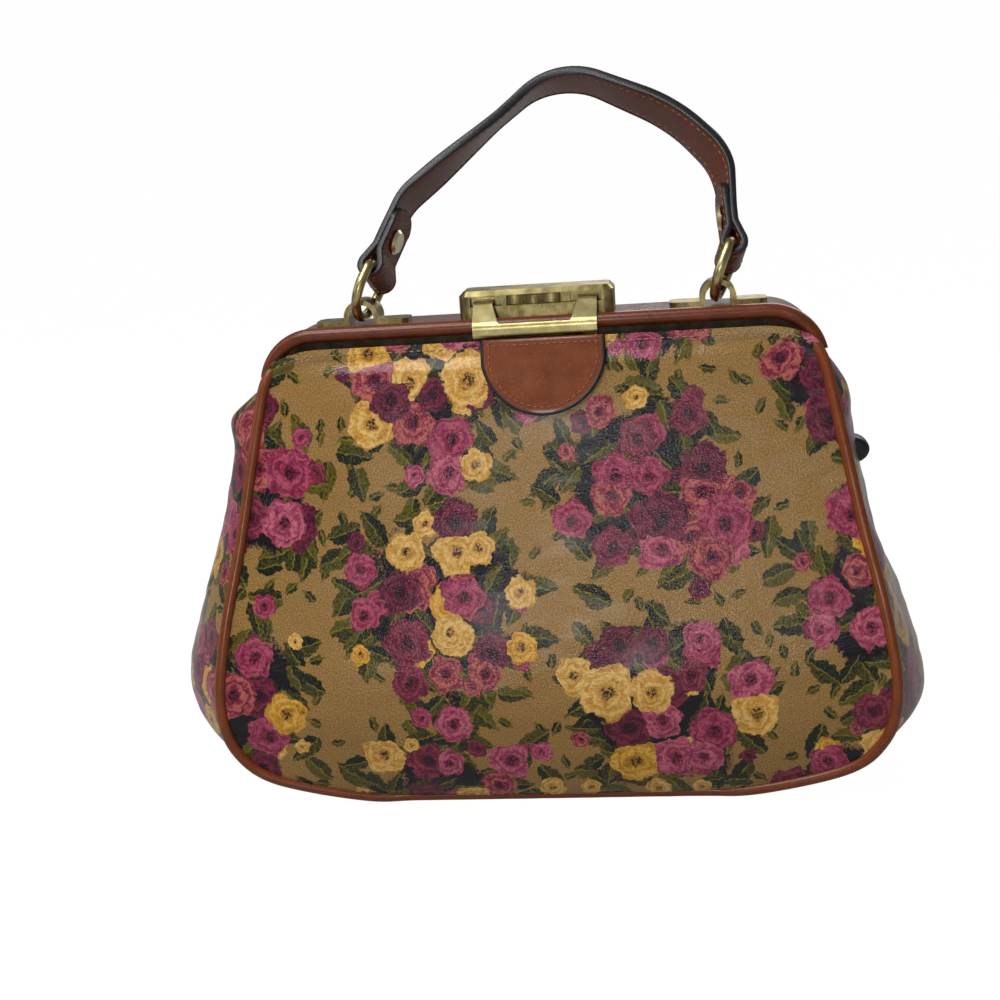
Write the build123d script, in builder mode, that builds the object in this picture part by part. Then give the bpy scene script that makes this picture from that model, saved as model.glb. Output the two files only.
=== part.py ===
from build123d import *
import math
import os

# A frame handbag of printed leather in the doctor's bag style, in millimetres.
# The origin is on the floor under the middle of the base. X runs to the right,
# Y to the back and Z up; the clasp side faces -Y.

os.makedirs("parts", exist_ok=True)

# Driving sizes of the soft body
leather = 2.0
lining_cloth = 1.0
soft_gap = 0.3
base_z = 0.0
mouth_z = 197.0
panel_top_z = 209.8
board_thickness = 2.4
board_inset = 8.0
base_half_length = 100.0
piping_radius = 2.6
seam_inset = 0.6
side_reach = 40.0
lining_slack = 1.0

# Level above the floor, half width of the panels, half depth at the piping,
# crown of the panels, and how far the left and right gussets puff out
levels = [
    (0.0, 72.0, 56.0, 0.0, 4.0, 4.0),
    (7.0, 103.0, 60.5, 1.0, 15.0, 13.0),
    (15.0, 130.0, 63.5, 1.5, 22.0, 20.0),
    (28.0, 145.5, 65.5, 2.5, 29.0, 24.0),
    (48.0, 152.0, 66.0, 4.0, 32.0, 20.0),
    (80.0, 149.5, 59.5, 5.0, 28.0, 13.0),
    (125.0, 140.0, 46.0, 5.0, 21.0, 8.0),
    (165.0, 132.5, 35.0, 4.5, 16.0, 8.0),
    (186.0, 128.5, 29.0, 4.0, 9.0, 6.0),
    (mouth_z, 126.5, 26.0, 3.0, 1.5, 1.5),
    (panel_top_z, 125.5, 24.5, 0.5, 1.0, 1.0),
]
foot_rise = 48.0

# Frame
frame_half = 127.0
frame_top_z = 216.0
frame_corner = 24.0
jaw_steel = 2.0
cover_leather = 1.3
cover_front_y = -15.8
cover_back_y = 19.0
roll_y = -20.0
roll_radius = 3.4
front_jaw_height = 9.0
front_jaw_thick = 2.4
jaw_inset = 0.6
facing_thick = 1.4
facing_height = 10.0
facing_shrink = 7.0
leg_end_z = 197.3
front_leg_end_z = 197.8
hinge_y = 0.0
hinge_z = 180.0
pin_radius = 2.0
pin_head_radius = 3.6
pin_head = 1.2
pin_play = 0.1
ear_radius = 5.5
ear_thick = 2.2
ear_gap = 0.3
ear_out = 122.7
ear_front_y = 4.0
ear_back_inset = 3.0

# Clasp
lock_half = 35.5
lock_front_y = -13.0
lock_depth = 23.0
lock_corner = 5.0
lock_lower = 6.2
lock_upper = 7.0
lock_wall = 1.5
lock_bevel = 2.2
prong_low = 16.3
prong_top = 19.4
prong_out = 28.0
prong_reach = 4.5
hasp_thick = 1.5
hasp_front_y = -25.2
hasp_foot_gap = 0.5
hasp_knee_z = 216.0
hasp_notch_z = 217.0
hasp_top_z = 224.7
slot_play = 0.8
slider_left = -13.0
slider_right = 11.0
slider_proud = 0.8
slider_height = 4.0
slider_depth = 3.2
stem_half = 3.0
latch_half = 25.0
latch_depth = 2.5
slider_travel = 5.0
slider_play = 0.3
tab_half = 27.5
tab_drop = 33.0
tab_thick = 1.8

# Handle
bridge_x = 82.3
bridge_half = 22.0
bridge_depth = 15.0
bridge_steel = 2.4
bridge_corner = 4.0
arch_inner = 5.8
arch_centre = 3.7
wire_radius = 2.3
ring_radius = 13.0
ring_bar = 9.2
ring_corner = 5.0
ring_tilt = 22.0
ring_play = 0.3
left_ring_shift = 3.4
right_ring_shift = 3.4
handle_lean = 34.0
strap_width = 20.0
strap_outer = 1.8
strap_lining = 1.4
strap_layer_gap = 0.1
loop_inner = 3.4
loop_close = 9.0
loop_rise = 1.5
leg_tuck = 2.95
leg_stagger = 2.0
left_leg_reach = 40.0
right_leg_reach = 48.0
tab_reach = 34.0
tip_radius = 8.0
left_leg_angle = 21.0
right_leg_angle = -4.0
handle_height = 115.3
rivet_reach = 18.0
rivet_cap = 6.0
rivet_shank = 2.0
rivet_dome = 1.4
rivet_taper = 40.0

# Strap keeper on the right gusset
keeper_z = 147.0
keeper_half = 6.5
keeper_out = 5.2
keeper_width = 13.0
keeper_leather = 2.2
keeper_root = 2.0


def level_at(z, column):
    """Value of one column of the levels table at a height, between its rows."""
    for low, high in zip(levels, levels[1:]):
        if low[0] <= z <= high[0]:
            share = (z - low[0]) / (high[0] - low[0])
            return low[column] + share * (high[column] - low[column])
    return levels[-1][column]


def ring_of_arcs(z, half, depth, crown, left, right):
    """Plan of the body at one level: crowned panels front and back, puffed gussets."""
    with BuildSketch(Plane.XY.offset(z)) as plan:
        with BuildLine():
            ThreePointArc((-half, -depth), (0, -depth - crown - 0.01), (half, -depth))
            ThreePointArc((half, -depth), (half + right, 0), (half, depth))
            ThreePointArc((half, depth), (0, depth + crown + 0.01), (-half, depth))
            ThreePointArc((-half, depth), (-half - left, 0), (-half, -depth))
        make_face()
    return plan.sketch


def body_plans(inset, depth_inset, floor, lift=0.0):
    """Plans of a body form set in from the outside, on a floor level, its top lifted."""
    plans = []
    for z, half, depth, crown, left, right in levels:
        rise = (floor - base_z) * max(0.0, 1 - z / foot_rise)
        rise += lift if z == panel_top_z else 0.0
        plans.append(ring_of_arcs(z + rise, half - inset, depth - depth_inset, crown, left, right))
    return plans


def behind_panel_plans():
    """Plans of the space behind the front panel, wider than the body."""
    plans = []
    for z, half, depth, crown, *_ in levels:
        reach = half + side_reach
        back_y = leather - depth
        end_y = back_y + crown * ((reach / half) ** 2 - 1)
        rise = 1.0 if z == panel_top_z else 0.0
        with BuildSketch(Plane.XY.offset(z + rise)) as plan:
            with BuildLine():
                ThreePointArc((-reach, end_y), (0, back_y - crown - 0.01), (reach, end_y))
                Polyline((reach, end_y), (reach, 0), (-reach, 0), (-reach, end_y))
            make_face()
        plans.append(plan.sketch)
    return plans


def frame_band(outer, inner, low_z, front_y, back_y):
    """U band of the frame between two shrinks and two depths, cut off at a height."""
    with BuildPart() as band:
        with BuildSketch(Plane.XZ.offset(-back_y)):
            for shrink, foot, mode in ((outer, 0.0, Mode.ADD), (inner, 1.0, Mode.SUBTRACT)):
                half = frame_half - shrink
                top = frame_top_z - shrink
                low = frame_top_z - 2 * frame_corner - foot
                with BuildLine():
                    corners = [(-half, low), (-half, top), (half, top), (half, low)]
                    FilletPolyline(*corners, radius=frame_corner - shrink)
                    Line((half, low), (-half, low))
                make_face(mode=mode)
        extrude(amount=back_y - front_y)
        split(bisect_by=Plane.XY.offset(low_z), keep=Keep.TOP)
    return band.part


def ear(outer_x, front_y, back_y, top_z):
    """Hinge ear at the right end of a jaw, from its leg down to the pin."""
    with BuildPart() as plate:
        with BuildSketch(Plane.YZ.offset(outer_x - ear_thick)):
            with Locations((hinge_y, hinge_z)):
                Circle(ear_radius)
            with Locations(((front_y + back_y) / 2, top_z - 1)):
                Rectangle(back_y - front_y, 2)
            make_hull()
            with Locations((hinge_y, hinge_z)):
                Circle(pin_radius + pin_play, mode=Mode.SUBTRACT)
        extrude(amount=ear_thick)
    return plate.part


def tangent_radii(points, share=0.45):
    """Fillet radii as large as the runs of a route allow, one for each corner."""
    spots = [Vector(*point) for point in points]
    radii = []
    for before, here, after in zip(spots, spots[1:], spots[2:]):
        turn = math.radians((here - before).get_angle(after - here))
        run = min((here - before).length, (after - here).length)
        radii.append(share * run / math.tan(turn / 2))
    return radii


cover_top_z = frame_top_z + cover_leather
lock_bottom_z = cover_top_z
lock_split_z = lock_bottom_z + lock_lower
lock_top_z = lock_split_z + lock_upper
lock_back_y = lock_front_y + lock_depth
hasp_foot_z = panel_top_z + hasp_foot_gap

# Full outer form of the body, and the hollow of its gussets and base
form_plans = body_plans(0, 0, base_z)
with BuildPart() as body_form:
    loft(form_plans)

hollow_plans = body_plans(leather, seam_inset, leather)
with BuildPart() as body_shell:
    add(body_form.part)
    loft(hollow_plans, mode=Mode.SUBTRACT)

# Outline of the panels: foot, piped sides and the shoulders under the frame
side_points = [(half, max(z, piping_radius)) for z, half, *_ in levels[:-1]]
shoulder_x = frame_half - frame_corner - 4.0
with BuildPart() as front_prism:
    with BuildSketch(Plane.XZ):
        with BuildLine():
            Spline(*side_points)
            Spline(*[(-x, z) for x, z in side_points])
            Line((-side_points[0][0], side_points[0][1]), side_points[0])
            ThreePointArc(side_points[-1], (frame_half - 10.5, panel_top_z - 4.2), (shoulder_x, panel_top_z))
            ThreePointArc((-side_points[-1][0], side_points[-1][1]), (-frame_half + 10.5, panel_top_z - 4.2),
                          (-shoulder_x, panel_top_z))
            Line((-shoulder_x, panel_top_z), (shoulder_x, panel_top_z))
        make_face()
    extrude(amount=100)

behind_plans = behind_panel_plans()
with BuildPart() as front_zone:
    add(front_prism.part)
    loft(behind_plans, mode=Mode.SUBTRACT)

with BuildPart() as rear_zone:
    add(mirror(front_zone.part, about=Plane.XZ, mode=Mode.PRIVATE))

# Piping along the seams, from one end of the frame round the foot to the other
seam_side = [(half, -depth, max(z, piping_radius)) for z, half, depth, *_ in reversed(levels[:-1])]
seam = [(-x, y, z) for x, y, z in seam_side] + list(reversed(seam_side))

with BuildPart() as front_piping:
    with BuildLine():
        FilletPolyline(*seam, radius=tangent_radii(seam))
    with BuildSketch(Plane(origin=seam[0], z_dir=Vector(*seam[1]) - Vector(*seam[0]))):
        Circle(piping_radius)
    sweep()

with BuildPart() as rear_piping:
    add(mirror(front_piping.part, about=Plane.XZ, mode=Mode.PRIVATE))

with BuildPart() as front_panel:
    add(body_form.part)
    add(front_zone.part, mode=Mode.INTERSECT)
    add(front_piping.part, mode=Mode.SUBTRACT)

with BuildPart() as rear_panel:
    add(mirror(front_panel.part, about=Plane.XZ, mode=Mode.PRIVATE))

# The strip round the sides and foot, cut into two gussets and the base
with BuildPart() as side_band:
    add(body_shell.part)
    add(front_zone.part, mode=Mode.SUBTRACT)
    add(rear_zone.part, mode=Mode.SUBTRACT)
    split(bisect_by=Plane.XY.offset(mouth_z), keep=Keep.BOTTOM)

with BuildPart() as right_gusset:
    add(side_band.part)
    split(bisect_by=Plane.YZ.offset(base_half_length), keep=Keep.TOP)
    add(front_piping.part, mode=Mode.SUBTRACT)
    add(rear_piping.part, mode=Mode.SUBTRACT)

with BuildPart() as left_gusset:
    add(side_band.part)
    split(bisect_by=Plane.YZ.offset(-base_half_length), keep=Keep.BOTTOM)
    add(front_piping.part, mode=Mode.SUBTRACT)
    add(rear_piping.part, mode=Mode.SUBTRACT)

with BuildPart() as base_panel:
    add(side_band.part)
    split(bisect_by=Plane.YZ.offset(base_half_length), keep=Keep.BOTTOM)
    split(bisect_by=Plane.YZ.offset(-base_half_length), keep=Keep.TOP)
    add(front_piping.part, mode=Mode.SUBTRACT)
    add(rear_piping.part, mode=Mode.SUBTRACT)

# Stiff board on the base, under the lining
board_half = levels[0][1] - board_inset
board_depth = levels[0][2] - board_inset
with BuildPart() as base_board:
    with BuildSketch(Plane.XY.offset(leather)):
        RectangleRounded(2 * board_half, 2 * board_depth, board_inset)
    extrude(amount=board_thickness)

# Cloth lining, open at the mouth
lining_floor = leather + board_thickness + lining_slack
lining_inset = leather + soft_gap + lining_slack
lining_inner = lining_inset + lining_cloth
lining_outside = body_plans(lining_inset, lining_inset, lining_floor)
lining_inside = body_plans(lining_inner, lining_inner, lining_floor + lining_cloth)
with BuildPart() as lining:
    loft(lining_outside)
    loft(lining_inside, mode=Mode.SUBTRACT)
    split(bisect_by=Plane.XY.offset(mouth_z - 3), keep=Keep.BOTTOM)

# Rear jaw: a wide steel U that closes the top, with an ear at each hinge
rear_ear_out = ear_out - ear_thick - ear_gap
ear_root_z = leg_end_z + 3.0
joggle_out = frame_half - jaw_steel - 0.2
rear_band = frame_band(0, jaw_steel, leg_end_z, cover_front_y, cover_back_y)
rear_ear = ear(rear_ear_out, ear_front_y, cover_back_y - ear_back_inset, ear_root_z)
with BuildPart() as joggle:
    with BuildSketch(Plane.XY.offset(leg_end_z)):
        with Locations(((joggle_out + rear_ear_out - ear_thick) / 2,
                        (ear_front_y + cover_back_y - ear_back_inset) / 2)):
            Rectangle(joggle_out - rear_ear_out + ear_thick, cover_back_y - ear_back_inset - ear_front_y)
    extrude(amount=ear_root_z - leg_end_z)

with BuildPart() as rear_jaw:
    add(rear_band)
    for piece in (rear_ear, joggle.part):
        add(piece)
        add(mirror(piece, about=Plane.YZ, mode=Mode.PRIVATE))

# Glossy leather over the rear jaw
cover_band = frame_band(-cover_leather, 0, leg_end_z, cover_front_y, cover_back_y)
with BuildPart() as frame_cover:
    add(cover_band)

# Front jaw: a flat steel U standing behind the roll
jaw_back_y = roll_y + 1.5
jaw_front_y = jaw_back_y - front_jaw_thick
front_band = frame_band(jaw_inset, front_jaw_height, front_leg_end_z, jaw_front_y, jaw_back_y)
front_ear = ear(ear_out, jaw_front_y, jaw_back_y, front_leg_end_z + 3.0)
with BuildPart() as front_jaw:
    add(front_band)
    add(front_ear)
    add(mirror(front_ear, about=Plane.YZ, mode=Mode.PRIVATE))

# Leather roll along the outer edge of the front jaw
roll_half = frame_half - 0.5
roll_top = frame_top_z - 0.5
roll_low_z = frame_top_z - 2 * frame_corner
with BuildPart() as front_roll:
    with BuildLine():
        FilletPolyline((-roll_half, roll_y, roll_low_z), (-roll_half, roll_y, roll_top),
                       (roll_half, roll_y, roll_top), (roll_half, roll_y, roll_low_z),
                       radius=frame_corner - 0.5)
    with BuildSketch(Plane.XY.offset(roll_low_z)):
        with Locations((-roll_half, roll_y)):
            Circle(roll_radius)
    sweep()
    split(bisect_by=Plane.XY.offset(front_leg_end_z), keep=Keep.TOP)
    add(front_jaw.part, mode=Mode.SUBTRACT)

# Leather facings between the panels and the jaws
facing_band = frame_band(facing_shrink, facing_shrink + facing_height, front_leg_end_z,
                         jaw_front_y - facing_thick, jaw_front_y)
with BuildPart() as front_facing:
    add(facing_band)

back_band = frame_band(jaw_steel, facing_height + jaw_steel, leg_end_z,
                       cover_back_y - facing_thick, cover_back_y)
with BuildPart() as rear_facing:
    add(back_band)

# Pins through the two ears of each hinge
with BuildPart() as right_hinge_pin:
    inner_x = rear_ear_out - ear_thick - pin_play
    outer_x = ear_out + pin_play
    with BuildSketch(Plane.YZ.offset(inner_x)):
        with Locations((hinge_y, hinge_z)):
            Circle(pin_radius)
    extrude(amount=outer_x - inner_x)
    with BuildSketch(Plane.YZ.offset(outer_x)):
        with Locations((hinge_y, hinge_z)):
            Circle(pin_head_radius)
    extrude(amount=pin_head)
    with BuildSketch(Plane.YZ.offset(inner_x - pin_head)):
        with Locations((hinge_y, hinge_z)):
            Circle(pin_head_radius)
    extrude(amount=pin_head)

with BuildPart() as left_hinge_pin:
    add(mirror(right_hinge_pin.part, about=Plane.YZ, mode=Mode.PRIVATE))

# Clasp: lower shell of the lock, riveted down through the cover and the jaw
lock_mid_y = (lock_front_y + lock_back_y) / 2
rivet_half = lock_half - 8.0
rivet_hole = 1.6
rivet_spots = [(-rivet_half, lock_mid_y), (rivet_half, lock_mid_y)]
with BuildPart() as lock_lower_shell:
    with BuildSketch(Plane.XY.offset(lock_bottom_z)):
        with Locations((0, lock_mid_y)):
            RectangleRounded(2 * lock_half, lock_depth, lock_corner)
    extrude(amount=lock_lower)
    with BuildSketch(Plane.XY.offset(lock_bottom_z + lock_wall)):
        with Locations((0, lock_mid_y)):
            RectangleRounded(2 * (lock_half - lock_wall), lock_depth - 2 * lock_wall, lock_corner - lock_wall)
    extrude(amount=lock_lower, mode=Mode.SUBTRACT)
    with BuildSketch(Plane.XY.offset(lock_bottom_z)):
        with Locations(*rivet_spots):
            Circle(rivet_hole)
    extrude(amount=lock_wall, mode=Mode.SUBTRACT)

# Upper shell, bevelled, with the slider's recess and two slots for the prongs
chamber_front_y = lock_front_y + prong_reach + 1.3
chamber_back_y = lock_back_y - lock_wall
recess_left = slider_left - slider_play
recess_right = slider_right + slider_travel + slider_play
recess_back_y = lock_front_y + slider_depth + slider_play
slot_top_z = hasp_top_z + hasp_thick + 2 * slot_play
recess_top_z = lock_split_z + slider_height + 2 * slider_play
stem_z = lock_split_z + 1.0
stem_height = 2.0
with BuildPart() as lock_upper_shell:
    with BuildSketch(Plane.XY.offset(lock_split_z)):
        with Locations((0, lock_mid_y)):
            RectangleRounded(2 * lock_half, lock_depth, lock_corner)
    extrude(amount=lock_upper)
    chamfer(edges().group_by(Axis.Z)[-1], lock_bevel)
    with BuildSketch(Plane.XY.offset(lock_split_z)):
        with Locations((0, (chamber_front_y + chamber_back_y) / 2)):
            Rectangle(2 * (lock_half - lock_corner), chamber_back_y - chamber_front_y)
    extrude(amount=lock_upper - lock_bevel, mode=Mode.SUBTRACT)
    with BuildSketch(Plane.XZ.offset(-recess_back_y)):
        with Locations(((recess_left + recess_right) / 2, (lock_split_z + recess_top_z) / 2)):
            Rectangle(recess_right - recess_left, recess_top_z - lock_split_z)
    extrude(amount=lock_depth, mode=Mode.SUBTRACT)
    with BuildSketch(Plane.XZ.offset(-(lock_front_y + prong_reach + slot_play))):
        for side in (-1, 1):
            with Locations((side * (prong_low + prong_out + 1.3) / 2, (lock_split_z + slot_top_z) / 2)):
                Rectangle(prong_out - prong_low + 2.9, slot_top_z - lock_split_z)
    extrude(amount=lock_depth, mode=Mode.SUBTRACT)
    with BuildSketch(Plane.XZ.offset(-chamber_front_y)):
        with Locations((slider_travel / 2, stem_z + stem_height / 2)):
            Rectangle(2 * (stem_half + slider_play) + slider_travel, stem_height + 2 * slider_play)
    extrude(amount=chamber_front_y - recess_back_y, mode=Mode.SUBTRACT)

# Thumb slider: a waved grip on a stem that reaches the latch bar inside
grip_front_y = lock_front_y - slider_proud
grip_back_y = recess_back_y - slider_play
grip_mid = (slider_left + slider_right) / 2
grip_low_z = lock_split_z + slider_play
with BuildPart() as lock_slider:
    with BuildSketch(Plane.XY.offset(grip_low_z)):
        with BuildLine():
            Spline((slider_left, lock_front_y + 0.6), (slider_left + 6, lock_front_y + 1.2),
                   (grip_mid, grip_front_y), (slider_right - 6, lock_front_y + 1.2),
                   (slider_right, lock_front_y + 0.2))
            Line((slider_right, lock_front_y + 0.2), (slider_right, grip_back_y))
            Line((slider_right, grip_back_y), (slider_left, grip_back_y))
            Line((slider_left, grip_back_y), (slider_left, lock_front_y + 0.6))
        make_face()
    extrude(amount=slider_height)
    with BuildSketch(Plane.XZ.offset(-(chamber_front_y + slider_play))):
        with Locations((0, stem_z + stem_height / 2)):
            Rectangle(2 * stem_half, stem_height)
    extrude(amount=chamber_front_y + slider_play - grip_back_y)

with BuildPart() as latch_bar:
    with BuildSketch(Plane.XY.offset(stem_z)):
        with Locations((0, chamber_front_y + slider_play + latch_depth / 2)):
            RectangleRounded(2 * latch_half, latch_depth, 1.0)
    extrude(amount=stem_height)

# Rivets of the lock, headed under the jaw and inside the lower shell
jaw_under_z = frame_top_z - jaw_steel
with BuildPart() as lock_rivets:
    with BuildSketch(Plane.XY.offset(jaw_under_z)):
        with Locations(*rivet_spots):
            Circle(rivet_hole)
    extrude(amount=lock_bottom_z + lock_wall - jaw_under_z)
    for head_z in (jaw_under_z - pin_head, lock_bottom_z + lock_wall):
        with BuildSketch(Plane.XY.offset(head_z)):
            with Locations(*rivet_spots):
                Circle(2 * rivet_hole)
        extrude(amount=pin_head)

# Hasp: bent plate from the front jaw over the roll, its two prongs in the slots
with BuildPart() as hasp:
    with BuildSketch(Plane.YZ.offset(-prong_out)):
        with BuildLine():
            FilletPolyline((jaw_front_y, hasp_foot_z + hasp_thick), (hasp_front_y, hasp_foot_z + hasp_thick),
                           (hasp_front_y, hasp_knee_z), (lock_front_y - 2.6, hasp_top_z - 0.2),
                           (lock_front_y + prong_reach, hasp_top_z), radius=(0.6, 3.0, 3.0))
            offset(amount=hasp_thick, side=Side.LEFT)
        make_face()
    extrude(amount=2 * prong_out)
    with BuildSketch(Plane.XZ.offset(-lock_back_y)):
        with BuildLine():
            Polyline((-prong_low, hasp_notch_z), (prong_low, hasp_notch_z), (prong_top, hasp_top_z),
                     (prong_top, lock_top_z), (-prong_top, lock_top_z), (-prong_top, hasp_top_z),
                     (-prong_low, hasp_notch_z))
        make_face()
    extrude(amount=100, mode=Mode.SUBTRACT)

# Leather tab that hangs from the hasp over the front panel
tab_top_z = hasp_foot_z
tab_proud = soft_gap + tab_thick
tab_outside = body_plans(-tab_proud, -tab_proud, base_z, lift=hasp_foot_gap)
tab_inside = body_plans(-soft_gap, -soft_gap, base_z, lift=hasp_foot_gap)
with BuildPart() as clasp_tab:
    loft(tab_outside)
    loft(tab_inside, mode=Mode.SUBTRACT)
    with BuildSketch(Plane.XZ):
        with BuildLine():
            Line((-tab_half, tab_top_z), (tab_half, tab_top_z))
            Line((tab_half, tab_top_z), (tab_half, tab_top_z - tab_drop / 3))
            ThreePointArc((tab_half, tab_top_z - tab_drop / 3), (0, tab_top_z - tab_drop),
                          (-tab_half, tab_top_z - tab_drop / 3))
            Line((-tab_half, tab_top_z - tab_drop / 3), (-tab_half, tab_top_z))
        make_face()
    extrude(amount=100, mode=Mode.INTERSECT)

# Bridges that hold the handle rings: a strap of steel bent over in an arch
arch_z = cover_top_z + arch_centre
arch_outer = arch_inner + bridge_steel


def bridge(x):
    """One bridge plate with its arch and the blind holes of its rivets."""
    with BuildPart() as plate:
        with BuildSketch(Plane.XY.offset(cover_top_z)):
            with Locations((x, 0)):
                RectangleRounded(2 * bridge_half, bridge_depth, bridge_corner)
        extrude(amount=bridge_steel)
        with BuildSketch(Plane.XZ.offset(-bridge_depth / 2)):
            with Locations((x, arch_z)):
                Circle(arch_outer)
            with Locations((x, (cover_top_z + arch_z) / 2)):
                Rectangle(2 * arch_outer, arch_centre)
            with Locations((x, cover_top_z - arch_outer)):
                Rectangle(4 * arch_outer, 2 * arch_outer, mode=Mode.SUBTRACT)
        extrude(amount=bridge_depth)
        with BuildSketch(Plane.XZ.offset(-bridge_depth / 2)):
            with Locations((x, arch_z)):
                Circle(arch_inner)
            with Locations((x, arch_z - arch_inner)):
                Rectangle(2 * arch_inner, 2 * arch_inner)
        extrude(amount=bridge_depth, mode=Mode.SUBTRACT)
        with BuildSketch(Plane.XY.offset(cover_top_z)):
            with Locations((x - bridge_rivet, 0), (x + bridge_rivet, 0)):
                Circle(rivet_hole)
        extrude(amount=bridge_steel / 2, mode=Mode.SUBTRACT)
    return plate


def bridge_rivets(x):
    """Two rivets of a bridge, headed under the jaw."""
    with BuildPart() as pair:
        with BuildSketch(Plane.XY.offset(jaw_under_z)):
            with Locations((x - bridge_rivet, 0), (x + bridge_rivet, 0)):
                Circle(rivet_hole)
        extrude(amount=cover_top_z + bridge_steel / 2 - jaw_under_z)
        with BuildSketch(Plane.XY.offset(jaw_under_z - pin_head)):
            with Locations((x - bridge_rivet, 0), (x + bridge_rivet, 0)):
                Circle(2 * rivet_hole)
        extrude(amount=pin_head)
    return pair


bridge_rivet = (bridge_half + arch_outer) / 2
left_bridge = bridge(-bridge_x)
right_bridge = bridge(bridge_x)
left_bridge_rivets = bridge_rivets(-bridge_x)
right_bridge_rivets = bridge_rivets(bridge_x)

# Rivet holes through the jaw and its cover
with BuildPart() as top_holes:
    with BuildSketch(Plane.XY.offset(jaw_under_z)):
        with Locations(*rivet_spots, (-bridge_x - bridge_rivet, 0), (-bridge_x + bridge_rivet, 0),
                       (bridge_x - bridge_rivet, 0), (bridge_x + bridge_rivet, 0)):
            Circle(rivet_hole)
    extrude(amount=jaw_steel + cover_leather)

with rear_jaw:
    add(top_holes.part, mode=Mode.SUBTRACT)

with frame_cover:
    add(top_holes.part, mode=Mode.SUBTRACT)

# Handle rings: round below for the bridge, a straight bar above for the strap
lean = math.radians(handle_lean)
ring_axis_z = cover_top_z + ring_play + wire_radius + ring_radius
handle_plane = Plane(origin=(0, 0, ring_axis_z), x_dir=(1, 0, 0), z_dir=(0, -math.cos(lean), math.sin(lean)))
ring_up = handle_plane.y_dir.rotate(Axis((0, 0, 0), handle_plane.z_dir), -ring_tilt)


def ring(x):
    """D ring of round wire, tilted in the plane of the handle."""
    with BuildPart() as wire:
        plane = Plane(origin=(x, 0, ring_axis_z), x_dir=handle_plane.z_dir,
                      z_dir=handle_plane.z_dir.cross(ring_up))
        with BuildLine(plane):
            arc = CenterArc((0, 0), ring_radius, 180, 180)
            FilletPolyline((ring_radius, 0), (ring_radius, ring_bar), (-ring_radius, ring_bar),
                           (-ring_radius, 0), radius=ring_corner)
        with BuildSketch(Plane(origin=arc @ 0, z_dir=arc % 0)):
            Circle(wire_radius)
        sweep()
    return wire


left_ring_x = -bridge_x + left_ring_shift
right_ring_x = bridge_x + right_ring_shift
left_ring = ring(left_ring_x)
right_ring = ring(right_ring_x)

# Handle strap: two layers along one path that folds round the bar of each ring
path_radius = loop_inner + strap_lining
layer_pitch = strap_lining + strap_layer_gap
bar_rise = ring_bar * math.cos(math.radians(ring_tilt))
bar_shift = ring_bar * math.sin(math.radians(ring_tilt))


def end_point(bar_x, leg_angle, outward, across, along):
    """Place in the handle's plane of a point given across and along a strap end."""
    angle = math.radians(leg_angle)
    return (bar_x + outward * across * math.cos(angle) + along * math.sin(angle),
            bar_rise - outward * across * math.sin(angle) + along * math.cos(angle))


def end_route(bar_x, leg_angle, outward, leg_reach):
    """Corners of a folded strap end, from the tab's tip round the fold to the leg."""
    corners = [(tab_across, tab_reach), (tab_across, loop_close), (-path_radius, loop_rise),
               (-path_radius, -path_radius), (path_radius, -path_radius), (path_radius, loop_rise),
               (leg_across, loop_close + leg_stagger), (leg_across, leg_reach)]
    return [end_point(bar_x, leg_angle, outward, *corner) for corner in corners]


leg_across = path_radius - leg_tuck
tab_across = leg_across - 2 * layer_pitch
left_end = (left_ring_x + bar_shift, left_leg_angle, -1)
right_end = (right_ring_x + bar_shift, right_leg_angle, 1)
crown_points = [(10.6, handle_height), (65.7, 84.1)]
left_route = end_route(*left_end, left_leg_reach)
right_route = end_route(*right_end, right_leg_reach)
strap_route = left_route + crown_points + list(reversed(right_route))
loop_radii = [5.0, 5.0, path_radius - 0.01, path_radius - 0.01, 5.0, 5.0]
strap_radii = loop_radii + [28.0, 32.0, 85.0, 38.0] + list(reversed(loop_radii))


def moved_left(route, radii, amount):
    """Route moved to its left by an amount, and the radii that keep it parallel."""
    spots = [Vector(*spot) for spot in route]
    runs = [(after - before).normalized() for before, after in zip(spots, spots[1:])]
    lefts = [Vector(-run.Y, run.X) for run in runs]
    moved = [spots[0] + lefts[0] * amount]
    moved_radii = []
    for spot, before, after, radius in zip(spots[1:], lefts, lefts[1:], radii):
        moved.append(spot + (before + after) * (amount / (1 + before.dot(after))))
        turns_left = before.cross(after).Z > 0
        moved_radii.append(radius - amount if turns_left else radius + amount)
    moved.append(spots[-1] + lefts[-1] * amount)
    return moved, moved_radii


def strap_layer(thick):
    """One layer of the strap, to the left of the path or to its right, with round ends."""
    moved, moved_radii = moved_left(strap_route, strap_radii, thick)
    with BuildPart() as layer:
        with BuildSketch(handle_plane):
            with BuildLine():
                near = FilletPolyline(*strap_route, radius=strap_radii)
                far = FilletPolyline(*moved, radius=moved_radii)
                Line(near @ 0, far @ 0)
                Line(near @ 1, far @ 1)
            make_face()
        extrude(amount=strap_width / 2, both=True)
        tips = edges().filter_by(lambda edge: abs(edge.length - abs(thick)) < 0.01)
        fillet(tips, radius=tip_radius)
    return layer


strap_outer_leather = strap_layer(strap_outer)
strap_lining_leather = strap_layer(-strap_lining)

# Rivets that close the folds, with a round cap on the tab and one on the leg
stack_low = tab_across - strap_outer
stack_high = leg_across + strap_outer


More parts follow.
